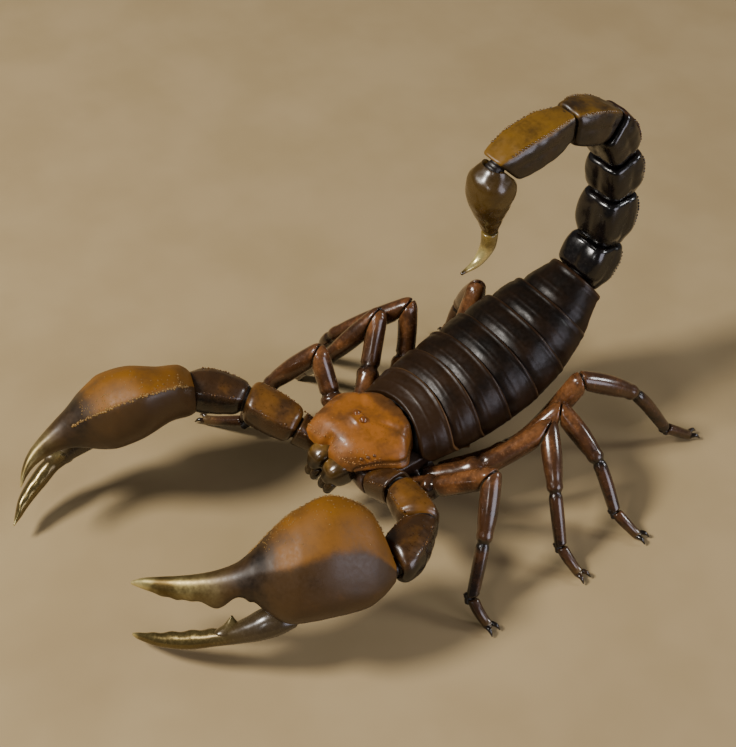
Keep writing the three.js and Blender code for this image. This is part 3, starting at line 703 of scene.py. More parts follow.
class NodeBoard:
    """A material's nodes, laid out and wired."""

    def __init__(self, name: str) -> None:
        """Starts a material with its shader and its output.

        Args:
            name: The name of the material.
        """
        self.material = bpy.data.materials.new(name)
        self.material.use_nodes = True
        self.tree = self.material.node_tree
        self.shader = self.tree.nodes["Principled BSDF"]
        self.place = self.add("ShaderNodeTexCoord").outputs["Object"]

    def feed(self, node: bpy.types.Node, inputs: dict[Union[str, int], object]) -> None:
        """Gives a node its inputs.

        Args:
            node: The node.
            inputs: A socket to link, a number or a colour for each input.
        """
        for key, value in inputs.items():
            slot = node.inputs[key]
            if isinstance(value, Socket):
                self.tree.links.new(value, slot)
            else:
                slot.default_value = (*value, 1) if isinstance(value, tuple) else value

    def add(self, kind: str, inputs: Optional[dict[Union[str, int], object]] = None,
            **settings: object) -> bpy.types.Node:
        """Adds a node.

        Args:
            kind: The kind of node.
            inputs: What goes into it.
            settings: Its settings.

        Returns:
            The node.
        """
        node = self.tree.nodes.new(kind)
        for key, value in settings.items():
            setattr(node, key, value)
        self.feed(node, inputs or {})
        return node

    def sum(self, kind: str, first: object, second: object, clamp: bool = False) -> Socket:
        """A math node of a kind between two sockets or numbers."""
        return self.add("ShaderNodeMath", {0: first, 1: second}, operation=kind, use_clamp=clamp).outputs[0]

    def noise(self, scale: float, detail: float = 4, rough: float = 0.55) -> Socket:
        """A noise on the piece's own coordinates."""
        inputs = {"Scale": scale, "Detail": detail, "Roughness": rough, "Vector": self.place}
        return self.add("ShaderNodeTexNoise", inputs).outputs["Fac"]

    def cells(self, scale: float) -> Socket:
        """The distance to the nearest of scattered points on the piece's own coordinates."""
        return self.add("ShaderNodeTexVoronoi", {"Scale": scale, "Vector": self.place}).outputs["Distance"]

    def mask(self, mask: Mask) -> Socket:
        """A mask of the piece's own mesh."""
        return self.add("ShaderNodeAttribute", attribute_name=mask.value).outputs["Fac"]

    def spread(self, value: Socket, low: float, high: float) -> Socket:
        """A noise stretched from its middle to a range."""
        inputs = {"Value": value, "From Min": 0.3, "From Max": 0.7, "To Min": low, "To Max": high}
        return self.add("ShaderNodeMapRange", inputs).outputs["Result"]

    def ramp(self, value: Socket, stops: Sequence[tuple[float, Colour]]) -> Socket:
        """A colour read from stops.

        Args:
            value: Where it is read.
            stops: The place and the colour of each stop.

        Returns:
            The colour.
        """
        node = self.add("ShaderNodeValToRGB", {"Fac": value})
        bar = node.color_ramp
        bar.interpolation = "EASE"
        while len(bar.elements) < len(stops):
            bar.elements.new(0.5)
        for element, (at, colour) in zip(bar.elements, stops):
            element.position = at
            element.color = (*colour, 1)
        return node.outputs["Color"]

    def mix(self, share: object, first: object, second: object, blend: str = "MIX") -> Socket:
        """A mix of two colours."""
        inputs = {0: share, 6: first, 7: second}
        return self.add("ShaderNodeMix", inputs, data_type="RGBA", blend_type=blend).outputs[2]

    def bump(self, height: Socket, strength: object, depth: float, below: Optional[Socket] = None) -> Socket:
        """Adds a bump.

        Args:
            height: Its height map.
            strength: Its strength.
            depth: Its depth, in millimetres.
            below: The bump under it, if there is one.

        Returns:
            The bumped normal.
        """
        node = self.add("ShaderNodeBump", {"Height": height, "Strength": strength, "Distance": depth * MM})
        if below:
            self.feed(node, {"Normal": below})
        return node.outputs["Normal"]


@dataclass(frozen=True)
class Shell:
    """A shell finish: three tones from deep to pale, and the two brassy ones of tips, as on a screen."""

    name: str
    deep: Colour
    body: Colour
    pale: Colour
    gilt: Colour = (104, 86, 40)
    bright: Colour = (205, 190, 128)
    gloss: float = 0.26
    coat: float = 0.35
    mottle: float = 0.16
    grain: float = 0.2
    shine: float = 0.5
    relief: float = 1.0

    def material(self) -> bpy.types.Material:
        """Makes the material once, to be shared by the pieces that wear it.

        Returns:
            The material.
        """
        found = bpy.data.materials.get(self.name)
        if found:
            return found
        board = NodeBoard(self.name)
        fine = board.noise(1500, 4, 0.6)
        tone = board.sum("ADD", board.mask(Mask.TONE),
                         board.spread(board.noise(230, 6, 0.6), -self.mottle, self.mottle))
        tone = board.sum("ADD", tone, board.spread(fine, -0.4 * self.mottle, 0.4 * self.mottle), clamp=True)
        colour = board.ramp(tone, [(0.0, srgb(self.deep)), (0.5, srgb(self.body)), (1.0, srgb(self.pale))])
        speck = board.ramp(board.noise(5200, 2, 0.5), [(0.32, (0.8, 0.78, 0.75)), (0.6, (1.05, 1.05, 1.05))])
        colour = board.mix(self.grain, colour, speck, "MULTIPLY")
        brass = board.ramp(tone, [(0.3, srgb(self.gilt)), (1.0, srgb(self.bright))])
        gilt, grit = board.mask(Mask.GILT), board.mask(Mask.GRIT)
        rough = board.sum("ADD", board.spread(fine, self.gloss - 0.06, self.gloss + 0.08),
                          board.sum("MULTIPLY", grit, 0.22), clamp=True)
        waves = board.bump(board.noise(420, 3, 0.5), 0.3 * self.relief, 0.2)
        pores = board.bump(board.noise(4200, 3, 0.6), 0.25 * self.relief, 0.05, waves)
        knobs = board.bump(board.cells(1500), board.sum("MULTIPLY", grit, -0.55), 0.28, pores)
        board.feed(board.shader, {
            "Base Color": board.mix(gilt, colour, brass), "Roughness": rough, "Normal": knobs,
            "Metallic": board.sum("MULTIPLY", gilt, 0.8), "Coat Weight": self.coat, "Coat Roughness": 0.12,
            "Specular IOR Level": self.shine,
        })
        return board.material


AMBER_SHIELD = Shell("amber_shield", (34, 21, 10), (86, 54, 23), (140, 85, 31), gloss=0.32, coat=0.08,
                     shine=0.34)
BLACK_BACK = Shell("black_back", (12, 8, 5), (42, 27, 14), (96, 68, 38), gloss=0.36, coat=0.0, mottle=0.08,
                   shine=0.2, relief=0.7)
BLACK_TAIL = Shell("black_tail", (8, 7, 8), (38, 23, 12), (136, 74, 18), gloss=0.22, coat=0.15, mottle=0.07,
                   relief=0.3)
AMBER_TAIL = Shell("amber_tail", (14, 10, 6), (42, 28, 11), (110, 78, 14), gloss=0.3, coat=0.1, relief=0.6)
OLIVE_BULB = Shell("olive_bulb", (26, 18, 8), (64, 46, 13), (104, 82, 26), gloss=0.26, coat=0.2, mottle=0.08,
                   relief=0.2)
BRASS_HOOK = Shell("brass_hook", (50, 38, 14), (120, 100, 44), (184, 164, 92), gloss=0.24, relief=0.3)
BROWN_ARM = Shell("brown_arm", (14, 9, 5), (52, 33, 14), (108, 70, 20), gloss=0.22, coat=0.2, relief=0.6)
OCHRE_CLAW = Shell("ochre_claw", (24, 17, 11), (64, 45, 23), (118, 75, 10), gilt=(84, 68, 34), gloss=0.4,
                   coat=0.0, mottle=0.11, shine=0.34, relief=0.3)
BRASS_FINGER = Shell("brass_finger", (32, 26, 20), (68, 55, 34), (150, 130, 66), gilt=(84, 68, 34),
                     gloss=0.24, coat=0.1, mottle=0.06, relief=0.2)
RED_LEG = Shell("red_leg", (16, 11, 8), (62, 38, 20), (116, 74, 40), gloss=0.22, coat=0.25, mottle=0.28,
                relief=0.5)
OLIVE_JAW = Shell("olive_jaw", (12, 9, 6), (62, 44, 18), (126, 92, 36), gloss=0.18, coat=0.3, relief=0.5)
BROWN_UNDERSIDE = Shell("brown_underside", (20, 12, 7), (50, 30, 16), (92, 60, 30), gloss=0.4)
PALE_COMB = Shell("pale_comb", (78, 54, 30), (140, 104, 62), (178, 146, 96), gloss=0.5, coat=0.05)
SOFT_JOINT = Shell("soft_joint", (10, 7, 5), (26, 17, 11), (56, 38, 24), gloss=0.45, coat=0.05)
EYE_AMBER = Shell("eye_amber", (40, 22, 8), (104, 58, 20), (160, 98, 38), gloss=0.1, coat=0.5, mottle=0.05,
                  grain=0.0, relief=0.0)


def dress(piece: Piece, finish: Shell, slot: str, *nodes: str) -> None:
    """Gives a piece its finish and its place among the part's nodes.

    Args:
        piece: The piece.
        finish: Its finish.
        slot: Not used.
        nodes: The nodes it stands for.
    """
    piece.data.materials.clear()
    piece.data.materials.append(finish.material())
    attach(piece, "root")
    if nodes:
        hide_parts(*nodes)
    log.info("%s: %d faces", piece.name, len(piece.data.polygons))


# ------------------------------------------------------------------ back half of the body


@dataclass
class Trunk:
    """The seven ringed plates of the back half, and the soft skin under them."""

    line: Sequence[Point] = ((0, 7.4, 13.5), (0, 20, 14.9), (0, 30, 17.2), (0, 40, 21.4), (0, 47.6, 26.4))
    half_width: Sequence[float] = (8.9, 9.9, 10.4, 10.4, 9.6, 7.7, 5.0)
    back: Sequence[float] = (6.6, 7.9, 8.6, 8.7, 8.2, 6.7, 4.7)
    belly: Sequence[float] = (5.2, 6.3, 7.0, 7.1, 6.6, 5.4, 4.3)
    rings: Sequence[float] = (4.6, 4.9, 5.4, 5.9, 6.3, 6.7, 7.3)
    browner: Sequence[float] = (0.3, 0.16, 0.08, 0.0, 0.0, 0.0, 0.0)
    bow: float = 2.2
    raised: float = 0.5
    overlap: float = 0.75
    margin: float = 0.14
    roll: float = 0.3
    sunken: float = 0.75

    @property
    def track(self) -> Track:
        """The middle of the back half."""
        return Track(self.line)

    def section(self, at: Array, angle: Array, flare: Array) -> Array:
        """Points of the body.

        Args:
            at: Shares of its length.
            angle: Angles round it.
            flare: How far its plates stand out.

        Returns:
            The points.
        """
        u = self.track.even(at)
        heading = self.track.heading(u)
        side = unit(np.cross(heading, vec(UP)))
        top = unit(np.cross(side, heading))
        x, y = rim(angle, 2.15)
        half = reader(self.half_width)(at) + flare
        rise = np.where(y > 0, reader(self.back)(at), reader(self.belly)(at)) + flare
        ahead = self.bow_at(x, np.sin(angle), at)[..., None]
        return self.track.at(u) - heading * ahead + side * (x * half)[..., None] + top * (y * rise)[..., None]

    def bow_at(self, across: Array, level: Array, at: Array) -> Array:
        """How far a plate's edge comes forward at the flanks."""
        return self.bow * across**2 * ease(-0.3, 0.2, level) * np.maximum(1 - at / 0.45, 0)

    def ring(self, index: int) -> Plate:
        """Lays out a ring: a belly plate below and a raised back plate whose rear edge stands proud.

        Args:
            index: Which ring, from the front.

        Returns:
            The ring.
        """
        length = self.track.length()
        shares = np.concatenate([[0], np.cumsum(self.rings)]) / sum(self.rings)
        inset = GAP / 2 / length
        start, end = shares[index] + inset, shares[index + 1] - inset
        reach = self.overlap / length if index < len(self.rings) - 1 else 0.0

        def surface(u: Array, angle: Array) -> Array:
            """Lays out the ring, with its belly plate and its back plate.

            Args:
                u: Shares of the length.
                angle: Angles round it.

            Returns:
                The points.
            """
            u, angle = np.broadcast_arrays(u, angle)
            level = np.sin(angle)
            above = ease(-self.margin - 0.05, -self.margin + 0.03, level)
            tucked = -0.45 * (1 - ease(0.0, 0.3, u)) if index else 0.0
            slope = self.raised * (0.3 + 0.7 * ease(0.08, 0.7, u))
            keel = 0.04 * hump(u - 0.42, 0.04) * ease(-0.1, 0.5, level)
            lip = 0.1 * hump(u - 0.93, 0.05) - 0.06 * hump(u - 0.82, 0.05)
            fold = 0.1 * hump(level + 0.3, 0.05) - 0.12 * hump(level + 0.42, 0.06)
            at = start + (end - start + reach * above) * u
            flare = np.minimum(above * (tucked + slope + keel + lip) + (1 - above) * fold, self.raised + 0.1)
            return self.section(at, angle, flare)

        def masks(u: Array, angle: Array, p: Array) -> dict[Mask, Array]:
            """Gives it brown lower margins, and a lighter line along the rear lip and a faint one on the
            keel, partly the rim's own brown and partly a painted highlight.

            Args:
                u: Shares of the length.
                angle: Angles round it.
                p: The points.

            Returns:
                The masks of the points.
            """
            level = np.sin(angle)
            low = 1 - ease(-0.1, 0.5, level)
            # painted highlight: the lighter line along the rear lip and the faint one on the keel are partly
            # the rim's own brown and partly painted glints of light
            line = hump(u - 0.96, 0.03) * 0.4 + hump(u - 0.42, 0.04) * 0.05
            tone = 0.14 + self.browner[index] + line + 0.24 * low + 0.18 * (1 - ease(-0.3, -0.12, level))
            return {Mask.TONE: tone + 0.05 * ripple(p, 90, 6.0), Mask.GRIT: 0.15 * low}

        def relief(u: Array, angle: Array, p: Array) -> Array:
            """A soft unevenness."""
            return 0.05 * ripple(p, 3 + index, 5.0) + 0.02 * ripple(p, 30 + index, 1.6)

        def rolled(u: Array, angle: Array) -> Array:
            """Rolls the two open rims of the ring inward.

            Args:
                u: Shares of the length.
                angle: Angles round it.

            Returns:
                The points.
            """
            p = surface(u, angle)
            shrink = self.roll * quarter(np.minimum(u, 1 - u) * length * (end - start) / self.roll)
            return p + unit(p.mean(axis=-2, keepdims=True) - p) * shrink[..., None]

        return Plate(f"mesosoma_{index + 1}_plate", rolled, 144, 44, lip=0.2, masks=masks, relief=relief,
                     flat_ends=True)

    def skin(self) -> Plate:
        """Lays out the soft skin that shows between the rings.

        Returns:
            The skin.
        """

        def surface(u: Array, angle: Array) -> Array:
            """Points of the skin."""
            u, angle = np.broadcast_arrays(u, angle)
            return self.section(0.02 + 0.96 * u, angle, np.full(u.shape, -self.sunken))

        return Plate("trunk_skin", surface, 64, 60)

    def build(self) -> None:
        """Builds and dresses the rings and the skin."""
        for index in range(len(self.rings)):
            dress(self.ring(index).build(), BLACK_BACK, "back_plates", f"mesosoma_{index + 1}")
        dress(self.skin().build(), SOFT_JOINT, "back_plates")


# ------------------------------------------------------------------ head shield, eyes and jaws


@dataclass
class HeadShield:
    """The head shield with its furrows, its eye hill, its side eyes and the two middle eyes."""

    trunk: Trunk
    base: float = 14.6
    front: float = -7.6
    rear: float = 7.4
    slack: float = 0.17
    lean: float = 0.15
    half_width: Sequence[float] = (6.3, 7.4, 8.4, 9.2, 9.5, 9.0, 6.2)
    dome: Sequence[float] = (2.6, 4.5, 5.0, 5.1, 5.1, 5.2, 5.3)
    wall: float = 0.06
    middle_eye: Point = (0.95, -0.6, 5.55)
    middle_radius: float = 0.72
    side_eye: Point = (6.3, -4.6, 2.75)
    side_step: Point = (0.25, 1.05, 0.1)
    side_radius: float = 0.32

    def front_edge(self, x: Array) -> Array:
        """The y of the front edge at a distance from the middle, without its notch."""
        corner = np.maximum(np.abs(x) - np.where(x > 0, 3.1, 3.9), 0)
        return self.front + 4.5 * (1 - np.exp(-0.0156 * corner**3))

    def height(self, u: Array, x: Array, y: Array) -> Array:
        """The height of the dome over the cut, with its furrows and swellings.

        Args:
            u: Shares of the length.
            x: Places across.
            y: Places along.

        Returns:
            The heights.
        """
        fore = ease(-3, 5, -y)
        across = np.abs(x)
        lobes = 0.03 * fore * hump(across - 3.6, 2.6)
        cheeks = 0.45 * (1 - fore) * hump(across - 5.4, 2.0) * hump(y - 4, 3.0)
        wave = x - 0.45 * np.sin(1.1 * (y - 1.0)) * ease(0.5, 2.0, y)
        groove = hump(wave, 0.42) * (0.04 + 0.14 * ease(5.8, 7.4, -y) + 0.26 * ease(0.8, 2.6, y))
        hill = 0.83 * hump(x, 1.9) * hump(y + 0.6, 2.2)
        within = ease(1.0, 2.4, across) * (1 - ease(6.0, 8.0, across))
        slant = 0.3 * hump(y - (1.6 + 0.55 * (across - 1.5)), 0.75) * within
        fork = 0.16 * hump(across - 0.9 - 0.45 * (y - 3.5), 0.5) * ease(3.0, 5.0, y)
        brow = 0.18 * hump(np.hypot(across - 0.95, y + 0.6) - 0.95, 0.28)
        return reader(self.dome)(u) + lobes + cheeks - groove + hill - slant - fork + brow

    def surface(self, t: Array, angle: Array) -> Array:
        """Points of the shield: a front wall, the dome and a rear wall.

        Args:
            t: Shares of the way over it, from front to rear.
            angle: Angles round it.

        Returns:
            The points.
        """
        t, angle = np.broadcast_arrays(t, angle)
        c, s = rim(angle, 2.5)
        u = np.clip((t - self.wall) / (1 - 2 * self.wall), 0, 1)
        x = c * reader(self.half_width)(u)
        start = self.front_edge(x)
        trunk = self.trunk
        bowed = trunk.bow_at(x / trunk.half_width[0], np.ones_like(x), 0.0 * x)
        back = self.rear - GAP / 2 - self.slack - bowed - 1.0 * ease(4.2, 9.0, np.abs(x))
        y = start + (back - start) * u
        dip, sag = quarter((y - start) / 1.1), quarter((back - y) / 0.45)
        top = self.height(u, x, y) - 0.75 * 1.1 * dip - 0.8 * 0.45 * sag
        up = np.maximum(s, 0) * np.clip(t / self.wall, 0, 1) * np.clip((1 - t) / self.wall, 0, 1)
        z = self.base + 0.15 + (top - 0.15) * up
        origin, slope = trunk.track.at(0.0), trunk.track.heading(0.0)
        notch = 1.5 * hump(x, 0.8) * (1 - ease(0.0, 0.16, u))
        y = y + notch - (z - origin[2]) * slope[2] / slope[1] * u
        lip = 0.03 * hump(s - 0.1, 0.09) - 0.022 * hump(s - 0.3, 0.08) + 0.012 * hump(s - 0.46, 0.09)
        return self.turned(np.stack([x * (1 + lip * (1 - ease(0.8, 1.0, u))), y, z], axis=-1))

    def turned(self, p: Point) -> Array:
        """Turns places of the head a little to the animal's right.

        Args:
            p: The places.

        Returns:
            The turned places.
        """
        p = np.array(p, float)
        p[..., 0] -= self.lean * np.maximum(self.rear - p[..., 1], 0)
        return p

    def plate(self) -> Piece:
        """Builds the shield itself, with granules along its front lobes.

        Returns:
            The shield.
        """
        sides = 160
        over = self.wall + (1 - 2 * self.wall) * np.linspace(0, 1, 116)[1:-1]
        t = np.concatenate([np.linspace(0, self.wall, 7), over, np.linspace(1 - self.wall, 1, 7)])
        grid, angle = np.meshgrid(t, np.linspace(0, 2 * math.pi, sides, endpoint=False), indexing="ij")
        p = self.surface(grid, angle)
        p[..., 2] += (0.05 * ripple(p, 71, 3.6) + 0.02 * ripple(p, 72, 1.1)) * (np.sin(angle) > 0.05)
        piece = Bench.tube("carapace_shield", sides, len(t) - 1)
        Bench.lay(piece, p)
        rear = ease(2.0, 8.0, p[..., 1])
        # painted shade: a dark line along the rim groove just above the lower edge of the shield
        edge = hump(np.sin(angle) - 0.2, 0.09)
        tone = 0.82 - rear * (0.25 + 0.42 * hump(p[..., 0], 4.0)) - 0.3 * edge + 0.104 * ripple(p, 73, 5.0)
        grit = 0.55 * ease(1.0, 6.0, -p[..., 1]) + 0.35 * ease(4.0, 8.0, np.abs(p[..., 0]))
        Bench.mark(piece, {Mask.TONE: tone, Mask.GRIT: grit})
        Bench.face_out(piece)
        return self.granules(piece)

    def granules(self, piece: Piece) -> Piece:
        """Sets small granules along the front edge and the flanks.

        Args:
            piece: The shield.

        Returns:
            The shield with its granules.
        """
        draw = np.random.default_rng(5)
        t = np.concatenate([draw.uniform(0.085, 0.115, 34), draw.uniform(0.09, 0.3, 110),
                            np.linspace(0.12, 0.9, 60)])
        angle = np.concatenate([np.linspace(0.5, math.pi - 0.5, 34), draw.uniform(0.25, math.pi - 0.25, 110),
                                np.tile([0.16, math.pi - 0.16], 30)])
        places = self.surface(t, angle)
        ahead = self.surface(t + 0.004, angle) - places
        aside = self.surface(t, angle + 0.02) - places
        normals = unit(np.cross(aside, ahead))
        normals *= np.sign(normals @ np.array([0, -0.3, 1.0]) + 1e-6)[:, None]
        radii = np.concatenate([draw.uniform(0.1, 0.2, 34), draw.uniform(0.06, 0.13, 110),
                                draw.uniform(0.07, 0.14, 60)])
        return Beads(tone=0.95, gilt=0.12).set_on(piece, places, radii, normals)

    def side_eyes(self, piece: Piece) -> Piece:
        """Adds three small eyes to each front corner of the shield.

        Args:
            piece: The shield.

        Returns:
            The shield with its side eyes.
        """
        made = [piece]
        for sign in (1, -1):
            for i in range(3):
                x, y, z = vec(self.side_eye) + vec(self.side_step) * i
                made.append(self.lens(f"side_eye_{i}", (sign * x, y, z), self.side_radius, 24))
        return Bench.join(made)

    def lens(self, name: str, place: Point, radius: float, sides: int) -> Piece:
        """Models a smooth lens of an eye: a ball whose crown is drawn up a little.

        Args:
            name: The name of the piece.
            place: Its middle, with its height given over the shield's base.
            radius: Its radius, in millimetres.
            sides: Points round it.

        Returns:
            The lens.
        """
        Bench.clear()
        middle = self.turned(vec(place) + vec((0, 0, self.base))) + ORIGIN
        bpy.ops.mesh.primitive_uv_sphere_add(segments=sides, ring_count=sides // 2, radius=radius * MM,
                                             location=middle * MM)
        piece = bpy.context.object
        piece.name = name
        bpy.ops.object.transform_apply(location=True, rotation=True, scale=True)
        crown = (middle[2] + 0.55 * radius) * MM
        with Bench.opened(piece, [v.index for v in piece.data.vertices if v.co.z > crown]):
            bpy.ops.transform.resize(value=(0.94, 0.94, 1.0))
            bpy.ops.mesh.vertices_smooth(factor=0.5, repeat=2)
        bpy.ops.object.shade_smooth()
        Bench.mark(piece, {Mask.TONE: 0.5})
        return piece

    def build(self) -> None:
        """Builds and dresses the shield and the middle eyes."""
        dress(self.side_eyes(self.plate()), AMBER_SHIELD, "carapace", "carapace")
        x, y, z = self.middle_eye
        for side in Side:
            eye = self.lens(f"eye_{side.value}_lens", (side.sign * x, y, z), self.middle_radius, 48)
            dress(eye, EYE_AMBER, "eyes", f"eye_{side.value}")


@dataclass
class Jaw:
    """A jaw under a front lobe of the shield, with two short hooked fingers below its tip."""

    side: Side
    head: HeadShield
    aside: float = 1.3
    step: float = 0.72
    base: Sequence[Point] = ((2.05, -4.9, 13.25), (2.15, -7.0, 13.0), (1.95, -9.4, 11.7))
    fingers: Sequence[Point] = ((1.95, -8.6, 11.3), (1.9, -9.5, 10.1), (1.8, -9.2, 9.0))

    def track(self, points: Sequence[Point], aside: float = 0.0) -> Track:
        """A line on the jaw's own side of the animal."""
        shift = self.aside + aside
        return Track([self.head.turned((self.side.sign * x + shift, y, z)) for x, y, z in points])

    def build(self) -> None:
        """Builds and dresses the jaw."""
        swollen = Limb(self.track(self.base), (1.9, 2.2, 2.2, 1.95, 1.1), (2.3, 2.7, 2.75, 2.4, 1.3),
                       squareness=2.9)

        def tones(u: Array, angle: Array, p: Array) -> dict[Mask, Array]:
            """Olive with a brassy brow and darker flanks."""
            brow = ease(0.3, 0.95, np.sin(angle)) * ease(0.05, 0.4, u) * (1 - ease(0.6, 0.9, u))
            return {Mask.TONE: 0.22 + 0.45 * brow + 0.05 * ripple(p, 74, 2.5), Mask.GRIT: 0.25 * (1 - u)}

        parts = [Plate(f"chelicera_{self.side.value}_jaw", swollen, 56, 44, masks=tones).build()]
        for step in (self.step, -self.step):
            line = self.track(self.fingers, step)
            hook = Limb(line, (0.95, 0.8, 0.3), (1.0, 0.85, 0.3))
            parts.append(Plate("hook", hook, 28, 26, masks=shaded(0.3, 0.0)).build())
            for i in range(3):
                root = line.at(0.35 + 0.2 * i)
                tip = root + vec((-0.35 * np.sign(step), -0.1, -0.45)) * (1.0 - 0.2 * i)
                tooth = Limb(Track((root, tip)), (0.4, 0.28, 0.1), up=(0, 1, 0))
                parts.append(Plate("tooth", tooth, 12, 6, masks=shaded(0.1, 0.1)).build())
        dress(Bench.join(parts), OLIVE_JAW, "jaws", f"chelicera_{self.side.value}")


# ------------------------------------------------------------------ tail


@dataclass
class Tail:
    """Six segments, the bulb and the hooked sting."""

    trunk: Trunk
    joints: Sequence[Point] = ((0, 47.6, 26.4), (0, 51.7, 33.9), (0, 52.9, 43.9), (0, 52.3, 52.2),
                               (0, 48.9, 60.3), (0, 39.2, 63.8), (0, 25.2, 61.8))
    half_width: Sequence[float] = (4.7, 4.6, 4.4, 4.1, 3.7, 3.6)
    half_height: Sequence[float] = (4.5, 4.5, 4.2, 3.9, 3.6, 3.6)
    profile: Sequence[float] = (0.68, 0.8, 0.97, 1.0, 0.99, 0.88, 0.7)
    bulb_line: Sequence[Point] = ((0, 25.2, 61.8), (0, 24.2, 57.8), (0, 24.3, 53.6), (0, 24.8, 49.0))
    bulb_half: Sequence[float] = (2.4, 3.8, 3.8, 3.15, 2.1, 1.35)
    hook_line: Sequence[Point] = ((0, 24.8, 49.0), (0, 24.5, 45.8), (0, 22.5, 43.5), (0, 19.2, 42.6))
    hook_half: Sequence[float] = (1.35, 1.2, 0.8, 0.25)
    tones: Sequence[float] = (0.08, 0.08, 0.1, 0.14, 0.22, 0.25)
    amber: Sequence[float] = (0.0, 0.0, 0.3, 0.6, 0.75, 1.0)
    bead_tones: Sequence[float] = (0.05, 0.05, 0.5, 0.6, 0.75, 0.8)
    black: int = 4
    keel: float = 0.86
    pitch: float = 0.62
    spare: float = 1.4

    def cuts(self, index: int) -> tuple[Cut, Cut]:
        """Finds the two planes that end a segment.

        Args:
            index: Which segment, from the body.

        Returns:
            The planes at its root and at its end.
        """
        line = [vec(p) for p in (*self.joints, self.bulb_line[1])]
        a, b, after = line[index:index + 3]
        root = mitre(line[index - 1], a, b) if index else self.trunk.track.heading(1.0)
        return Cut(a, root), Cut(b, -mitre(a, b, after))

    def segment(self, index: int) -> Piece:
        """Builds a segment, waisted at its ends and keeled, with a row of granules on each outer keel.

        Args:
            index: Which segment, from the body.

        Returns:
            The segment.
        """
        a, b = vec(self.joints[index]), vec(self.joints[index + 1])
        axis, length = unit(b - a), float(np.linalg.norm(b - a))
        full = 0.035 if index < self.black else 0.0

        def swell(u: Array, angle: Array) -> Array:
            """Four low keels, sharper on the outer side, with a shallow trough between them.

            Args:
                u: Shares of the length.
                angle: Angles round it.

            Returns:
                The swelling at each place, as a factor.
            """
            corner = 0.05 * np.cos(4 * (angle - math.pi / 4))
            ridge = humps_round(angle, (self.keel, math.pi - self.keel), 0.09)
            lobes = humps_round(angle, (-0.62, math.pi + 0.62), 0.42)
            groove = humps_round(angle, (0.08, math.pi - 0.08, -math.pi / 2), 0.1)
            return 1 + corner + (0.03 * ridge + full * lobes - 0.045 * groove) * np.sin(math.pi * u)

        def masks(u: Array, angle: Array, p: Array) -> dict[Mask, Array]:
            """Black near the body, and amber on the outer side towards the end.

            Args:
                u: Shares of the length.
                angle: Angles round it.
                p: The points.

            Returns:
                The masks of the points.
            """
            face = ease(0.5, 0.8, np.sin(angle))
            keel = hump(np.abs(np.cos(angle)) - 0.66, 0.12) * (np.sin(angle) > 0)
            amber = self.amber[index]
            return {Mask.TONE: self.tones[index] + amber * (0.62 * face + 0.2 * keel),
                    Mask.GRIT: 0.5 * face * amber}

        barrel = Limb(Track((a - axis * self.spare, b + axis * self.spare)),
                      self.half_width[index] * vec(self.profile), self.half_height[index] * vec(self.profile),
                      unit(np.cross(axis, vec(LEFTWARD))), 2.5, swell)
        piece = Plate(f"tail_{index + 1}_segment", barrel, 112, 60, *self.cuts(index), 0.55, masks,
                      uneven(0.06, 40 + index, 3.2)).build()
        draw = np.random.default_rng(11 + index)
        places, radii, normals = [], [], []
        for angle in (self.keel, math.pi - self.keel):
            along = np.arange(1.2, length - 0.8, self.pitch) + draw.uniform(-0.08, 0.08)
            share = (along + self.spare) / (length + 2 * self.spare)
            places.append(barrel(share, angle))
            radii.append(0.25 * draw.uniform(0.7, 1.2, len(along)))
            normals.append(unit(places[-1] - barrel.track.at(share)))
        beads = Beads(tone=self.bead_tones[index])
        return beads.set_on(piece, np.concatenate(places), np.concatenate(radii), np.concatenate(normals))

    def bulb(self) -> Plate:
        """Lays out the bulb at the end of the tail.

        Returns:
            The bulb.
        """
        line = [vec(p) for p in self.bulb_line]
        form = Limb(Track(line), self.bulb_half, 0.96 * vec(self.bulb_half), (0, -1, 0.1))
        start = mitre(vec(self.joints[-2]), line[0], line[1])
        end = mitre(line[2], line[3], vec(self.hook_line[1]))

        def masks(u: Array, angle: Array, p: Array) -> dict[Mask, Array]:
            """Olive brown, darker and greyer at the joint."""
            return {Mask.TONE: 0.35 + 0.25 * ease(0.05, 0.5, u) + 0.06 * ripple(p, 9, 6.0)}

        return Plate("vesicle_bulb", form, 96, 80, Cut(line[0], start), Cut(line[3], -end), 0.4, masks,
                     uneven(0.05, 8, 2.4))

    def hook(self) -> Plate:
        """Lays out the sting, curved and drawn out to a point.

        Returns:
            The sting.
        """
        line = [vec(p) for p in self.hook_line]
        start = mitre(vec(self.bulb_line[2]), line[0], line[1])

        def masks(u: Array, angle: Array, p: Array) -> dict[Mask, Array]:
            """Brass at the root, cream further on, and a dark point."""
            return {Mask.TONE: 0.4 + 0.5 * ease(0.1, 0.6, u) - 0.9 * ease(0.86, 0.97, u),
                    Mask.GILT: 0.75 * ease(0.0, 0.25, u) * (1 - ease(0.88, 0.98, u))}

        form = Limb(Track(line), self.hook_half, up=LEFTWARD)
        return Plate("sting_hook", form, 48, 80, Cut(line[0], start), lip=0.25, masks=masks)

    def build(self) -> None:
        """Builds and dresses the tail."""
        for index in range(len(self.half_width)):
            finish, slot = (BLACK_TAIL, "tail_dark") if index < self.black else (AMBER_TAIL, "tail_amber")
            dress(self.segment(index), finish, slot, f"tail_{index + 1}")
        dress(self.bulb().build(), OLIVE_BULB, "sting_bulb", "vesicle")
        dress(self.hook().build(), BRASS_HOOK, "sting_hook", "sting")


# ------------------------------------------------------------------ arms and claws


class Digit(Enum):
    """The two fingers of a claw."""

    FIXED = "fixed"
    MOVABLE = "movable"


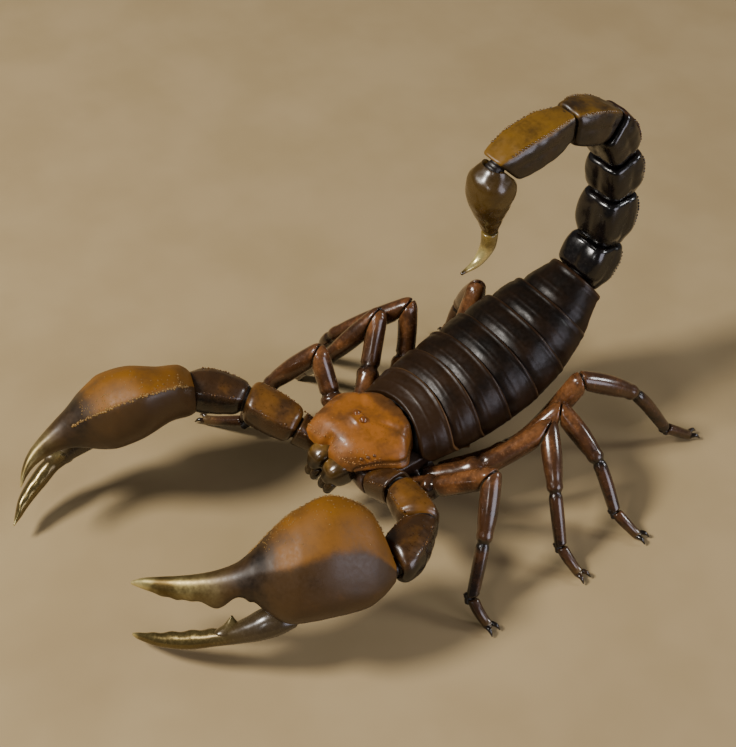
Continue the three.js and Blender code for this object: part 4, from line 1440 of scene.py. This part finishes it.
@dataclass(frozen=True)
class LengthTable:
    """A length of hand or finger, read along its form in the frame of its hand.

    Each lobe or hollow of its cutting edge has its distance from the wrist, its width and its rise.
    """

    digit: Digit
    along: Sequence[float]
    thumb: Sequence[float]
    half_width: Sequence[float]
    half_depth: Sequence[float]
    sink: Sequence[float]
    lobes: Sequence[Point]

    def grown(self, by: float) -> "LengthTable":
        """Thickens the length all round.

        Args:
            by: How much, in millimetres.

        Returns:
            The table of the thicker length.
        """
        return replace(self, along=(self.along[0] - by, *self.along[1:]),
                       half_width=[v + by for v in self.half_width],
                       half_depth=[v + by for v in self.half_depth])


HAND = LengthTable(
    Digit.FIXED,
    (0, 1.9, 4.7, 10.2, 15, 17.4, 19.8, 22, 24.4, 27.4, 30.2, 33.2, 36, 38.8, 40.5),
    (0.5, -0.6, -1.7, -2.0, -0.65, 0.1, 0.5, 0.8, 1.7, 2.6, 2.7, 2.8, 2.7, 2.5, 2.5),
    (1.9, 5.0, 7.9, 9.45, 8.85, 7.9, 6.1, 4.0, 2.9, 2.6, 2.05, 1.75, 1.4, 0.85, 0.25),
    (1.9, 3.2, 4.6, 6.5, 6.8, 6.1, 5.0, 3.8, 2.9, 2.2, 1.8, 1.5, 1.2, 0.8, 0.25),
    (0, 0.2, 0.3, 0.2, -0.1, -0.4, -0.7, -1.1, -1.6, -2.5, -3.5, -4.7, -6.1, -7.7, -8.8),
    ((27.6, 1.9, 0.75), (24.4, 1.3, -0.55), (31.4, 1.0, 0.28), (33.6, 0.9, 0.3), (35.8, 0.9, 0.22),
     (22.6, 0.5, 0.3)),
)
FINGER = LengthTable(
    Digit.MOVABLE,
    (15.2, 17.6, 20.2, 22.8, 25, 27, 31.8, 36.3, 39.2, 40.3),
    (8.2, 8.2, 8.7, 9.7, 10.5, 11.1, 12.0, 12.2, 11.9, 11.7),
    (1.0, 2.2, 2.5, 2.0, 1.6, 1.35, 1.3, 1.0, 0.6, 0.25),
    (1.6, 2.4, 2.5, 2.2, 1.9, 1.6, 1.4, 1.1, 0.65, 0.25),
    (-2.6, -2.8, -3.3, -4.2, -5.2, -6.2, -8.8, -11.6, -14, -15),
    ((28.2, 1.2, 0.3), (31.2, 1.3, 0.45), (34.2, 1.3, 0.42), (37.0, 1.0, 0.25), (26.6, 0.7, -0.15)),
)
SPIKE = ((25.1, 10.4, -5.3), (25.0, 9.2, -5.2), (25.0, 7.6, -5.1))


@dataclass
class Arm:
    """An arm with its claw: trochanter, femur, patella, hand and movable finger."""

    side: Side
    joints: Sequence[Point]
    wrist: Point
    forward: Point
    roll: float
    scale: float
    reach: dict[Digit, tuple[float, float]]
    crest: float
    keel: float
    blend: float
    sharp: float
    cuff: float
    stout: float
    lobed: dict[Digit, float]
    knuckle: float = 22.0
    finger_run: float = 18.5
    keels: Sequence[float] = (0.75, math.pi - 0.75, -0.9)

    def axes(self) -> tuple[Array, Array, Array]:
        """Finds the hand's own directions.

        Returns:
            Onward, towards the thumb, and out of its back.
        """
        sign, turn = self.side.sign, math.radians(self.roll)
        onward = unit(vec(self.forward))
        outward = unit(np.cross(onward, vec(UP)) * -sign)
        lift = unit(np.cross(outward, onward) * -sign)
        thumb = outward * math.cos(turn) - lift * math.sin(turn)
        return onward, thumb, outward * math.sin(turn) + lift * math.cos(turn)

    def bends(self) -> tuple[list[Array], list[Array]]:
        """Finds the joints from the body to the wrist.

        Returns:
            The joints, and the direction of the cut at each of them.
        """
        root, hip, elbow, wrist = places = [vec(p) for p in (*self.joints, self.wrist)]
        return places, [hip - root, mitre(root, hip, elbow), mitre(hip, elbow, wrist),
                        mitre(elbow, wrist, wrist + self.axes()[0])]

    def spot(self, along: Number, thumb: Number, back: Number, digit: Digit = Digit.FIXED) -> Array:
        """A place in the hand; past the knuckle each finger reaches by its own share.

        Args:
            along: The distance forward of the wrist.
            thumb: The distance towards the movable finger.
            back: The distance out of the back of the hand.
            digit: The finger that the place belongs to.

        Returns:
            The place, in millimetres.
        """
        past = np.maximum(np.asarray(along, float) - self.knuckle, 0)
        tip, more = self.reach[digit]
        share = tip + more * (1 - past / self.finger_run)
        steps = (along - past * (1 - share), thumb, back)
        return vec(self.wrist) + sum(self.scale * np.asarray(step, float)[..., None] * way
                                     for step, way in zip(steps, self.axes()))

    def length(self, table: LengthTable, keel: float = 0.0) -> Surface:
        """Makes the surface of a hand or finger.

        Args:
            table: Its table.
            keel: How far the keel on its back stands out.

        Returns:
            The surface.
        """

        def surface(u: Array, angle: Array) -> Array:
            """Lays out the hand or finger.

            Args:
                u: Shares of the length.
                angle: Angles round it.

            Returns:
                The points.
            """
            u, angle = np.broadcast_arrays(u, angle)
            c, s = rim(angle, 2.2)
            off = angle - self.crest
            ridge = hump(off, 0.16) - 0.55 * (hump(off - 0.55, 0.28) + hump(off + 0.55, 0.28))
            proud = keel * ridge * np.sin(math.pi * np.minimum(u / 0.55, 1))
            along = reader(table.along)(u)
            if table.digit is Digit.FIXED:
                more = self.cuff * hump(along, 3.6)
                pinch = 1 - self.sharp * hump(angle - math.pi, 0.7) * (1 - ease(0.4, 0.6, u))
            else:
                more = self.cuff * 0.24 * ease(25, 30, along) * (1 - ease(37, 40, along))
                pinch = 1.0
            thumb = reader(table.thumb)(u) + c * (reader(table.half_width)(u) + more)
            back = reader(table.sink)(u) + s * (reader(table.half_depth)(u) + more) * pinch + proud
            return self.spot(along, thumb + self.bite(table, along, angle), back, table.digit)

        return surface

    def bite(self, table: LengthTable, along: Array, angle: Array) -> Array:
        """Reads the blunt lobes and hollows of a finger's cutting edge.

        Args:
            table: The finger's table.
            along: Distances forward of the wrist.
            angle: Angles round the finger.

        Returns:
            How far the edge is pushed along the direction of the thumb.
        """
        facing, push = (0.0, 1.0) if table.digit is Digit.FIXED else (math.pi, -1.0)
        rises = sum(rise * hump(along - at, wide) for at, wide, rise in table.lobes)
        return push * self.lobed[table.digit] * humps_round(angle, (facing,), 0.75) * rises

    def hand(self) -> Piece:
        """Builds the swollen hand with its fixed finger, its granular inner edge and the keel on its back.

        Returns:
            The hand.
        """
        places, ways = self.bends()

        def masks(u: Array, angle: Array, p: Array) -> dict[Mask, Array]:
            """Ochre above the keel, glossy brown below it, and brass towards the tip of the finger.

            Args:
                u: Shares of the length.
                angle: Angles round it.
                p: The points.

            Returns:
                The masks of the points.
            """
            above = ease(self.crest - self.blend, self.crest + 0.6 * self.blend, angle)
            ochre = above * (1 - ease(3.08, 3.2, angle)) * (1 - ease(0.38, 0.48, u))
            tone = 0.46 + 0.44 * ochre - 0.3 * hump(u - 0.5, 0.1) + 0.5 * ease(0.86, 1.0, u)
            return {Mask.TONE: tone + 0.06 * ripple(p, 23, 5.0), Mask.GILT: ease(0.54, 0.82, u),
                    Mask.GRIT: 0.75 * ochre}

        def relief(u: Array, angle: Array, p: Array) -> Array:
            """A soft unevenness, stronger on the palm."""
            return (0.02 * ripple(p, 21, 5.0) + 0.008 * ripple(p, 22, 1.4)) * (1 - 0.7 * ease(0.5, 0.7, u))

        palm = Plate(f"claw_{self.side.value}_hand_shell", self.length(HAND, self.keel), 144, 150,
                     None if self.cuff else Cut(places[-1], ways[-1]), None, 0.4, masks, relief).build()
        self.carve(palm)
        return self.margin(palm)

    def carve(self, palm: Piece) -> None:
        """Cuts the hollow in which the movable finger turns.

        Args:
            palm: The hand.
        """
        hollow = Plate("hollow", self.length(FINGER.grown(0.35)), 48, 60).build()
        Bench.modify(palm, "BOOLEAN", operation="DIFFERENCE", object=hollow, solver="EXACT")
        bpy.data.objects.remove(hollow)
        Bench.take(palm)
        bpy.ops.object.shade_smooth_by_angle(angle=math.radians(50))

    def margin(self, palm: Piece) -> Piece:
        """Sets a row of granules on the inner edge and scatters smaller ones beside it.

        Args:
            palm: The hand.

        Returns:
            The hand with its granules.
        """
        draw = np.random.default_rng(7)
        u = np.concatenate([np.linspace(0.07, 0.52, 90) + draw.uniform(-0.003, 0.003, 90),
                            draw.uniform(0.1, 0.46, 150)])
        angle = np.concatenate([draw.normal(math.pi, 0.03, 90), math.pi - np.abs(draw.normal(0, 0.5, 150))])
        places = self.length(HAND, self.keel)(u, angle)
        middle = self.spot(reader(HAND.along)(u), reader(HAND.thumb)(u), reader(HAND.sink)(u))
        radii = np.concatenate([draw.uniform(0.14, 0.28, 90), draw.uniform(0.06, 0.14, 150)])
        return Beads(tone=0.85, gilt=0.15).set_on(palm, places, radii, unit(places - middle))

    def finger(self) -> Piece:
        """Builds the movable finger: a strong base, a conical tooth and low bumps on its cutting edge.

        Returns:
            The finger.
        """

        def masks(u: Array, angle: Array, p: Array) -> dict[Mask, Array]:
            """Grey brown at the root and brass towards the tip.

            Args:
                u: Shares of the length.
                angle: Angles round it.
                p: The points.

            Returns:
                The masks of the points.
            """
            edge = humps_round(angle, (math.pi,), 0.5)
            return {Mask.TONE: 0.3 + 0.12 * ease(0.3, 0.7, u) + 0.5 * ease(0.86, 1.0, u) + 0.04 * edge,
                    Mask.GILT: ease(0.3, 0.72, u)}

        def tooth_masks(u: Array, angle: Array, p: Array) -> dict[Mask, Array]:
            """Paler and brassier towards the point."""
            return {Mask.TONE: 0.32 + 0.25 * u, Mask.GILT: 0.2 + 0.5 * u}

        blade = Plate(f"claw_{self.side.value}_finger_blade", self.length(FINGER), 80, 110, masks=masks,
                      relief=uneven(0.012, 25, 3.0)).build()
        spike = Limb(Track([self.spot(*place, Digit.MOVABLE) for place in SPIKE]),
                     (2.7, 2.2, 1.5, 0.8, 0.2), (1.5, 1.3, 1.0, 0.55, 0.2), self.axes()[2])
        return Bench.join([blade, Plate("spike", spike, 36, 30, masks=tooth_masks).build()])

    def arm_plates(self) -> list[Plate]:
        """Lays out the three lengths between the body and the wrist.

        Returns:
            The lengths, each named after its node.
        """
        (root, hip, elbow, wrist), (root_way, hip_way, elbow_way, wrist_way) = self.bends()
        onward, _, back = self.axes()

        def ridged(u: Array, angle: Array) -> Array:
            """Sharper keels along a length."""
            return 1 + 0.055 * humps_round(angle, self.keels, 0.16) * np.sin(math.pi * u)

        def tones(low: float, high: float) -> Masks:
            """Ochre on top and dark on the flanks.

            Args:
                low: The tone of the flanks.
                high: The tone of the top.

            Returns:
                The masks of a length.
            """

            def masks(u: Array, angle: Array, p: Array) -> dict[Mask, Array]:
                """The tones of one length."""
                top = ease(0.35, 0.8, np.sin(angle))
                return {Mask.TONE: low + (high - low) * top + 0.06 * ripple(p, 12, 3.0), Mask.GRIT: 0.4 * top}

            return masks

        knob = Limb(Track((beyond(hip, root, 1), beyond(root, hip, 2))), (2.4, 2.8, 3.0))
        upper = Limb(Track((beyond(elbow, hip, 2.5), beyond(hip, elbow, 2.5))),
                     self.stout * vec((2.8, 3.4, 3.8, 3.7, 3.0)), self.stout * vec((2.7, 3.2, 3.5, 3.5, 2.9)),
                     squareness=2.15, swell=ridged)
        arched = (elbow + wrist) / 2 + back * 0.2
        fore = Limb(Track((beyond(wrist, elbow, 2), arched, beyond(elbow, wrist, 1.5))),
                    (2.5, 3.1, 3.8, 3.9, 2.8), (2.5, 3.0, 3.5, 3.5, 2.7), squareness=2.15, swell=ridged)
        name = f"arm_{self.side.value}"
        return [
            Plate(f"{name}_trochanter_plate", knob, 64, 30, Cut(root, root_way), Cut(hip, -hip_way), 0.35,
                  tones(0.3, 0.6)),
            Plate(f"{name}_femur_plate", upper, 88, 64, Cut(hip, hip_way), Cut(elbow, -elbow_way), 1.3,
                  tones(0.35, 0.8), uneven(0.05, 14, 3.0)),
            Plate(f"{name}_patella_plate", fore, 96, 76, Cut(elbow, elbow_way),
                  Cut(wrist + onward * 0.5 * self.cuff, -wrist_way), 1.3, tones(0.1, 0.55),
                  uneven(0.06, 15, 3.2)),
        ]

    def keeled(self, plate: Plate) -> Piece:
        """Builds a length of the arm and sets rows of granules on its keels.

        Args:
            plate: The length.

        Returns:
            The length with its granules.
        """
        draw = np.random.default_rng(31)
        angle = np.repeat(self.keels, 14) + draw.normal(0, 0.04, 42)
        u = np.tile(np.linspace(0.26, 0.76, 14), 3) + draw.uniform(-0.012, 0.012, 42)
        places = plate.surface(u, angle)
        around = np.linspace(0, 2 * math.pi, 12, endpoint=False)
        middle = plate.surface(u[:, None], around[None, :]).mean(axis=1)
        radii = draw.uniform(0.08, 0.24, 42)
        return Beads(tone=0.75).set_on(plate.build(), places, radii, unit(places - middle))

    def build(self) -> None:
        """Builds and dresses the arm and its claw."""
        for plate in self.arm_plates():
            dress(self.keeled(plate), BROWN_ARM, "arms", plate.name.removesuffix("_plate"))
        dress(self.hand(), OCHRE_CLAW, "claws", f"claw_{self.side.value}_hand")
        dress(self.finger(), BRASS_FINGER, "claw_fingers", f"claw_{self.side.value}_movable_finger")


# ------------------------------------------------------------------ legs


@dataclass
class Leg:
    """A leg in three lengths, with two small hooks at its tip.

    Its joints are its root, its bend, its knee, the ends of its patella and tibia, and its foot.
    """

    name: str
    joints: Sequence[Point]
    knuckle: float = 1.62
    toe_height: float = 0.72
    hook_steps: Sequence[Point] = ((-0.3, 0.35, 0.72), (1.0, 0.75, 1.0), (1.8, 0.95, 0.25))

    def way_out(self) -> Array:
        """The direction along the floor in which the foot points."""
        return unit((vec(self.joints[5]) - vec(self.joints[4])) * vec((1, 1, 0)))

    def lengths(self) -> list[Plate]:
        """Lays out the femur, the lower leg and the foot.

        Returns:
            The lengths, each named after its node.
        """
        root, bend, knee, patella, tibia, foot = (vec(p) for p in self.joints)
        knee_way, ankle_way = mitre(bend, knee, patella), mitre(patella, tibia, foot)

        def pinched(at: float) -> Surface:
            """A low keel along the top, and a pinch with a swelling before it where two lengths meet."""
            return lambda u, angle: (1 + 0.05 * humps_round(angle, (math.pi / 2,), 0.3) * np.sin(math.pi * u)
                                     + 0.13 * hump(u - at + 0.045, 0.03) - 0.22 * hump(u - at, 0.014))

        def tones(low: float, high: float, gilt: float = 0.0, pinch: float = -1.0) -> Masks:
            """A tone along a length, darker at its joints, and lighter on top and darker underneath as
            painted light and shade.

            Args:
                low: The tone at the root.
                high: The tone at the tip.
                gilt: How brassy the tip is.
                pinch: Where two lengths meet on the way.

            Returns:
                The masks of a length.
            """

            def masks(u: Array, angle: Array, p: Array) -> dict[Mask, Array]:
                """The tones of one length.

                Args:
                    u: Shares of the length.
                    angle: Angles round it.
                    p: The points.

                Returns:
                    The masks of the points.
                """
                ends = hump(u, 0.07) + hump(u - 1, 0.09) + 1.3 * hump(u - pinch, 0.03)
                # painted light and shade: the sine of the angle makes the top of the length lighter and its
                # underside darker
                return {Mask.TONE: low + (high - low) * u - 0.3 * ends + 0.14 * np.sin(angle),
                        Mask.GILT: gilt * ease(0.3, 1.0, u)}

            return masks

        thigh = Limb(Track((root - (bend - root) * 0.15, bend, knee, beyond(bend, knee, 1.8))),
                     (1.5, 1.75, 1.85, 1.75, 1.8, 1.75, 1.6, 1.5), (1.5, 1.8, 1.95, 1.85, 1.9, 1.8, 1.6, 1.5),
                     swell=pinched(0.36))
        mid = knee + (patella - knee) * 0.6
        low = patella + (tibia - patella) * 0.12
        end = tibia + (foot - tibia) * 0.15
        shin = Limb(Track((beyond(mid, knee, 1.8), knee, mid, low, end)),
                    (1.5, 1.55, 1.65, 1.72, 1.55, 1.2, 1.15, 1.0),
                    (1.5, 1.55, 1.7, 1.82, 1.65, 1.25, 1.2, 1.0), swell=pinched(0.74))
        toe = vec((foot[0], foot[1], self.toe_height))
        heel = (tibia + toe) / 2
        heel[2] = tibia[2] * 0.5 + 0.6
        shaft = Limb(Track((tibia + (patella - tibia) * 0.1, heel, toe, toe + self.way_out() * 0.6)),
                     (0.95, 0.95, 0.85, 0.8, 0.4), (0.95, 1.0, 0.9, 0.82, 0.4))

        def grounded(u: Array, angle: Array) -> Array:
            """Flattens the foot where it stands.

            Args:
                u: Shares of the length.
                angle: Angles round it.

            Returns:
                The points.
            """
            p = shaft(u, angle)
            p[..., 2] = np.maximum(p[..., 2], 0.0)
            return p

        name = f"leg_{self.name}"
        return [
            Plate(f"{name}_femur_plate", knuckled(thigh, knee, knee - bend, self.knuckle), 56, 64,
                  Cut(root, bend - root), Cut(knee, -knee_way), 0.3, tones(0.45, 0.7, pinch=0.36)),
            Plate(f"{name}_tibia_plate", knuckled(shin, knee, knee - mid, self.knuckle), 56, 72,
                  Cut(knee, knee_way), Cut(tibia, -ankle_way), 0.3, tones(0.54, 0.26, pinch=0.74)),
            Plate(f"{name}_tarsus_plate", grounded, 44, 40, Cut(tibia, ankle_way), None, 0.25,
                  tones(0.28, 0.42, 0.35)),
        ]

    def hooks(self) -> list[Piece]:
        """Builds the two hooks of the foot.

        Returns:
            The hooks.
        """
        out, (x, y, _) = self.way_out(), self.joints[5]
        aside = np.cross(out, vec(UP))
        made = []
        for sign in (-1, 1):
            line = [vec((x, y, height)) + out * ahead + aside * sign * wide
                    for ahead, wide, height in self.hook_steps]
            hook = Limb(Track(line), (0.45, 0.36, 0.12))
            made.append(Plate("hook", hook, 14, 14, masks=shaded(0.2, 0.0)).build())
        return made

    def build(self) -> None:
        """Builds and dresses the leg."""
        for plate in self.lengths():
            node = plate.name.removesuffix("_plate")
            parts = [plate.build()]
            if node.endswith("tarsus"):
                parts += self.hooks()
            dress(Bench.join(parts), RED_LEG, "legs", node)


# ------------------------------------------------------------------ underside


@dataclass
class Underside:
    """The coxae under the head shield, with a stub for each limb, and the combs behind them."""

    legs: Sequence[Leg]
    arms: Sequence[Arm]
    half: Sequence[float] = (5.4, 7.6, 8.1, 8.3, 8.2, 8.0)
    depth: Sequence[float] = (3.2, 5.2, 5.8, 6.0, 5.8, 5.4)
    front: float = -4.6
    rear: float = 8.4
    middle: float = 13.6
    top: float = 14.45
    voxel: float = 0.22
    comb_line: Sequence[Point] = ((1.4, 12.4, 7.7), (4.2, 14.6, 7.3), (6.6, 17.8, 7.4))
    comb_teeth: int = 13

    def block(self, u: Array, angle: Array) -> Array:
        """Points of the middle block.

        Args:
            u: Shares of its length.
            angle: Angles round it.

        Returns:
            The points.
        """
        u, angle = np.broadcast_arrays(u, angle)
        c, s = rim(angle, 2.6)
        z = self.middle + np.where(s > 0, s * 0.8, s * reader(self.depth)(u))
        return np.stack([c * reader(self.half)(u), self.front + (self.rear - self.front) * u, z], axis=-1)

    @staticmethod
    def stub(joints: Sequence[Point], inside: Point, reach: float, width: Sequence[float],
             height: Optional[Sequence[float]] = None) -> Piece:
        """Builds the stub of a limb.

        Args:
            joints: The joints of the limb.
            inside: Where the stub starts in the block.
            reach: How far it would go past the root of the limb.
            width: Its half width, read along it.
            height: Its half height, where that differs.

        Returns:
            The stub.
        """
        root, onward = vec(joints[0]), unit(vec(joints[1]) - vec(joints[0]))
        form = Limb(Track((inside, root, root + onward * reach)), width, height)
        return Plate("stub", form, 36, 24, end=Cut(root, -onward)).build()

    def coxae(self) -> Piece:
        """Builds the block and its stubs, grown together and cut off at the top and the rear.

        Returns:
            The coxae.
        """
        parts = [Plate("prosoma_coxae", self.block, 72, 50).build()]
        for leg in self.legs:
            x, y, z = leg.joints[0]
            parts.append(self.stub(leg.joints, (x * 0.3, min(y, 7) - 0.5, z + 1.2), 1.5, (2.1, 1.9, 1.75)))
        for arm in self.arms:
            x, y, z = arm.joints[0]
            inside = (x * 0.4, y + 0.4, z - 0.6)
            parts.append(self.stub(arm.joints, inside, 2, (2.4, 2.4, 2.3), (2.2, 2.3, 2.2)))
        piece = Bench.join(parts)
        Bench.modify(piece, "REMESH", mode="VOXEL", voxel_size=self.voxel * MM)
        Bench.modify(piece, "SMOOTH", factor=0.5, iterations=6)
        with Bench.opened(piece):
            for place, normal in (((0, 0, self.top), UP), ((0, self.rear, self.middle), (0, 1, 0))):
                bpy.ops.mesh.select_all(action="SELECT")
                bpy.ops.mesh.bisect(plane_co=tuple((vec(place) + ORIGIN) * MM), plane_no=normal,
                                    use_fill=True, clear_outer=True)
        bpy.ops.object.shade_smooth_by_angle(angle=math.radians(40))
        Bench.mark(piece, {Mask.TONE: 0.45, Mask.GRIT: 0.3})
        return piece

    def comb(self, side: Side) -> Piece:
        """Builds a comb: a curved spine with a row of blunt teeth along its rear edge.

        Args:
            side: The side of the animal it hangs on.

        Returns:
            The comb.
        """
        line = Track([(side.sign * x, y, z) for x, y, z in self.comb_line])
        spine = Limb(line, (0.9, 0.85, 0.5), (0.55, 0.5, 0.4))
        parts = [Plate(f"pectine_{side.value}_comb", spine, 28, 30, masks=shaded(0.6, 0.4)).build()]
        for u in np.linspace(0.08, 0.94, self.comb_teeth):
            root = line.at(u)
            away = np.cross(line.heading(u), vec(UP)) * -side.sign
            away[1] = abs(away[1])
            tooth = Limb(Track((root, root + unit(away) * (2.3 - 0.8 * u))), (0.2, 0.24, 0.26, 0.12),
                         (0.26, 0.3, 0.3, 0.14))
            parts.append(Plate("tooth", tooth, 12, 8, masks=shaded(0.6, 0.4)).build())
        return Bench.join(parts)

    def build(self) -> None:
        """Builds and dresses the coxae and the combs."""
        dress(self.coxae(), BROWN_UNDERSIDE, "coxae", "prosoma_underside")
        for side in Side:
            dress(self.comb(side), PALE_COMB, "combs", f"pectine_{side.value}")


@dataclass
class SoftJoints:
    """The soft skin that shows in the joints between hard lengths."""

    arms: Sequence[Arm]
    legs: Sequence[Leg]
    tail: Tail

    @staticmethod
    def plug(place: Array, way: Array, radius: float, reach: float) -> Piece:
        """Builds a short wrinkled length of skin through a joint.

        Args:
            place: The middle of the joint.
            way: The direction through it.
            radius: The radius of the skin.
            reach: How far it goes to either side.

        Returns:
            The skin.
        """
        way = unit(way)
        form = Limb(Track((place - way * reach, place + way * reach)), (radius,) * 3,
                    up=UP if abs(way[2]) < 0.9 else LEFTWARD,
                    swell=lambda u, angle: 1 + 0.04 * np.cos(u * 22) - 0.12 * hump(u - 0.5, 0.15))
        return Plate("joint", form, 24, 20, masks=shaded(0.3, 0.3)).build()

    def build(self) -> None:
        """Builds and dresses the skin of all joints as one piece."""
        spots = []
        for arm in self.arms:
            spots += zip(*arm.bends(), (1.7, 2.1, 2.4, 1.5), (1.2, 1.2, 1.3, 1.2))
        for leg in self.legs:
            root, bend, knee, patella, tibia, foot = (vec(p) for p in leg.joints)
            spots += [(root, bend - root, 1.15, 1.0), (knee, mitre(bend, knee, patella), 1.1, 0.8),
                      (tibia, mitre(patella, tibia, foot), 0.68, 0.8)]
        joints = [vec(p) for p in self.tail.joints]
        around = [joints[0] - vec((0, 1, 0.7)), *joints, vec(self.tail.bulb_line[1])]
        for before, joint, after in zip(around, joints, around[2:]):
            spots.append((joint, mitre(before, joint, after), 1.5 if joint is joints[-1] else 2.3, 1.3))
        piece = Bench.join([self.plug(*spot) for spot in spots])
        piece.name = "joint_skin"
        dress(piece, SOFT_JOINT, "legs")


# ------------------------------------------------------------------ the studio


@dataclass(frozen=True)
class Lamp:
    """A soft round light aimed at the middle of the animal."""

    name: str
    place: Point
    size: float
    power: float
    colour: Colour
    aim: Point = (0.0, 0.005, 0.015)

    def hang(self) -> None:
        """Adds the light to the scene."""
        data = bpy.data.lights.new(self.name, "AREA")
        data.shape = "DISK"
        data.size, data.energy, data.color = self.size, self.power, self.colour
        lamp = bpy.data.objects.new(self.name, data)
        bpy.context.collection.objects.link(lamp)
        lamp.location = Vector(self.place)
        lamp.rotation_euler = (Vector(self.aim) - lamp.location).to_track_quat("-Z", "Y").to_euler()


@dataclass
class Studio:
    """The floor, the soft lights and the camera."""

    eye: Point = (124.01, -93.24, 191.95)
    right: Point = (0.6018, 0.7986, 0.0)
    up: Point = (-0.5745, 0.4329, 0.6947)
    back: Point = (0.5548, -0.4181, 0.7193)
    lens: float = 66.19
    sky: Colour = (1.0, 0.95, 0.88)
    sky_strength: float = 0.11
    lamps: Sequence[Lamp] = (
        Lamp("key", (-0.17, -0.33, 0.42), 0.13, 4.3, (1.0, 0.95, 0.88)),
        Lamp("back", (0.27, 0.45, 0.30), 0.11, 1.1, (0.96, 0.98, 1.0)),
        Lamp("flank", (0.50, 0.14, 0.17), 0.36, 1.7, (0.9, 0.87, 1.0)),
        Lamp("front", (0.16, -0.42, 0.36), 0.10, 0.3, (1.0, 0.98, 0.96)),
    )

    def floor(self) -> None:
        """Lays a plain pale floor."""
        Bench.clear()
        bpy.ops.mesh.primitive_plane_add(size=3.0, location=(0, 0, -0.0002))
        floor = bpy.context.object
        floor.name = "floor"
        with Bench.opened(floor):
            bpy.ops.mesh.subdivide(number_cuts=4)
        bpy.ops.object.transform_apply(location=True, rotation=True, scale=True)
        board = NodeBoard("pale_floor")
        sand = board.ramp(board.noise(40, 3), [(0.3, srgb((152, 132, 96))), (0.7, srgb((160, 140, 104)))])
        board.feed(board.shader, {"Base Color": sand, "Roughness": 0.9, "Specular IOR Level": 0.2})
        floor.data.materials.append(board.material)

    def lights(self) -> None:
        """Hangs a soft key from the left, a light from behind, a flank and a faint fill."""
        world = bpy.data.worlds.new("studio")
        world.use_nodes = True
        background = world.node_tree.nodes["Background"]
        background.inputs["Color"].default_value = (*self.sky, 1)
        background.inputs["Strength"].default_value = self.sky_strength
        bpy.context.scene.world = world
        for lamp in self.lamps:
            lamp.hang()

    def camera(self) -> None:
        """Sets up the camera, without blur."""
        data = bpy.data.cameras.new("camera")
        data.lens, data.sensor_width = self.lens, 36.0
        data.clip_start, data.clip_end = 0.01, 20.0
        camera = bpy.data.objects.new("camera", data)
        bpy.context.collection.objects.link(camera)
        axes = Matrix((self.right, self.up, self.back)).transposed().to_4x4()
        camera.matrix_world = Matrix.Translation(Vector((vec(self.eye) + ORIGIN) * MM)) @ axes
        bpy.context.scene.camera = camera

    def build(self) -> None:
        """Sets up the floor, the lights and the camera."""
        self.floor()
        self.lights()
        self.camera()


# ------------------------------------------------------------------ the animal


def arms() -> list[Arm]:
    """Makes the two arms in their poses.

    Returns:
        The left arm and the right arm.
    """
    return [
        Arm(Side.LEFT, ((5.8, -3.2, 11.8), (11.3, -2.0, 14.2), (19.8, -3.6, 15.0)), (24.9, -13.4, 16.6),
            (-0.5, -0.86, 0.12), roll=44, scale=1.0,
            reach={Digit.FIXED: (1.0, 0.0), Digit.MOVABLE: (1.0, 0.0)}, crest=1.7, keel=0.35, blend=0.14,
            sharp=0.2, cuff=0.0, stout=0.88, lobed={Digit.FIXED: 1.0, Digit.MOVABLE: 1.0}),
        Arm(Side.RIGHT, ((-7.2, -5.4, 12.2), (-10.0, -7.6, 14.3), (-18.2, -12.4, 17.6)), (-24.6, -19.6, 19.2),
            (-0.23, -0.965, 0.06), roll=50, scale=0.95,
            reach={Digit.FIXED: (0.61, 0.34), Digit.MOVABLE: (0.74, 0.16)}, crest=1.4, keel=0.4, blend=0.1,
            sharp=0.48, cuff=2.2, stout=1.0, lobed={Digit.FIXED: 1.0, Digit.MOVABLE: 0.4}),
    ]


LEG_JOINTS = {
    "left_1": ((8.6, 1.4, 9.8), (13, 4.2, 12), (21.6, 9.3, 19), (26.4, 4.3, 12), (29.7, -1.5, 3.5),
               (34.3, -0.9, 0)),
    "left_2": ((8.8, 5.4, 9.7), (14.4, 12.6, 12.2), (18, 25.3, 17), (25.5, 20.5, 12), (30.9, 17.4, 3.5),
               (35.6, 18.2, 0)),
    "left_3": ((8.6, 9.2, 8.2), (13.1, 20.6, 9.6), (15.5, 30.5, 16), (24.2, 31.6, 11), (31.2, 30, 3.5),
               (35.8, 31.9, 0)),
    "left_4": ((7.6, 12.9, 5.2), (10.8, 25, 5.6), (14.3, 36.1, 19), (18.3, 45.3, 14), (22.9, 51, 3.5),
               (24.9, 56, 0)),
    "right_1": ((-8.4, 0.2, 10.6), (-12.9, 1.8, 13.6), (-18.1, 2.8, 20), (-23.6, -4.4, 12),
                (-24.5, -9.5, 3.5), (-32.2, -13.6, 0)),
    "right_2": ((-8.6, 4.2, 10.4), (-13.9, 10.8, 13.5), (-18.3, 16.2, 21), (-22.4, 7.8, 12), (-28.6, 7.4, 4),
                (-31.2, 6.8, 0)),
    "right_3": ((-8.6, 8.4, 8.8), (-13.6, 18.6, 12), (-17.1, 22.2, 21), (-26.8, 12, 12), (-31.3, 12.7, 4),
                (-33.1, 12.4, 0)),
    "right_4": ((-7.6, 12.9, 5.4), (-11.2, 26, 6.6), (-14, 36.1, 20), (-20.5, 38, 10), (-22, 37, 3.5),
                (-23.3, 36.5, 0)),
}


def main() -> None:
    """Builds the studio and the animal, piece by piece."""
    logging.basicConfig(level=logging.INFO, format="%(name)s %(message)s")
    Studio().build()
    trunk = Trunk()
    head = HeadShield(trunk)
    tail = Tail(trunk)
    both = arms()
    eight = [Leg(name, joints) for name, joints in LEG_JOINTS.items()]
    trunk.build()
    head.build()
    for side in Side:
        Jaw(side, head).build()
    tail.build()
    for limb in (*both, *eight):
        limb.build()
    Underside(eight, both).build()
    SoftJoints(both, eight, tail).build()


if __name__ == "__main__":
    main()
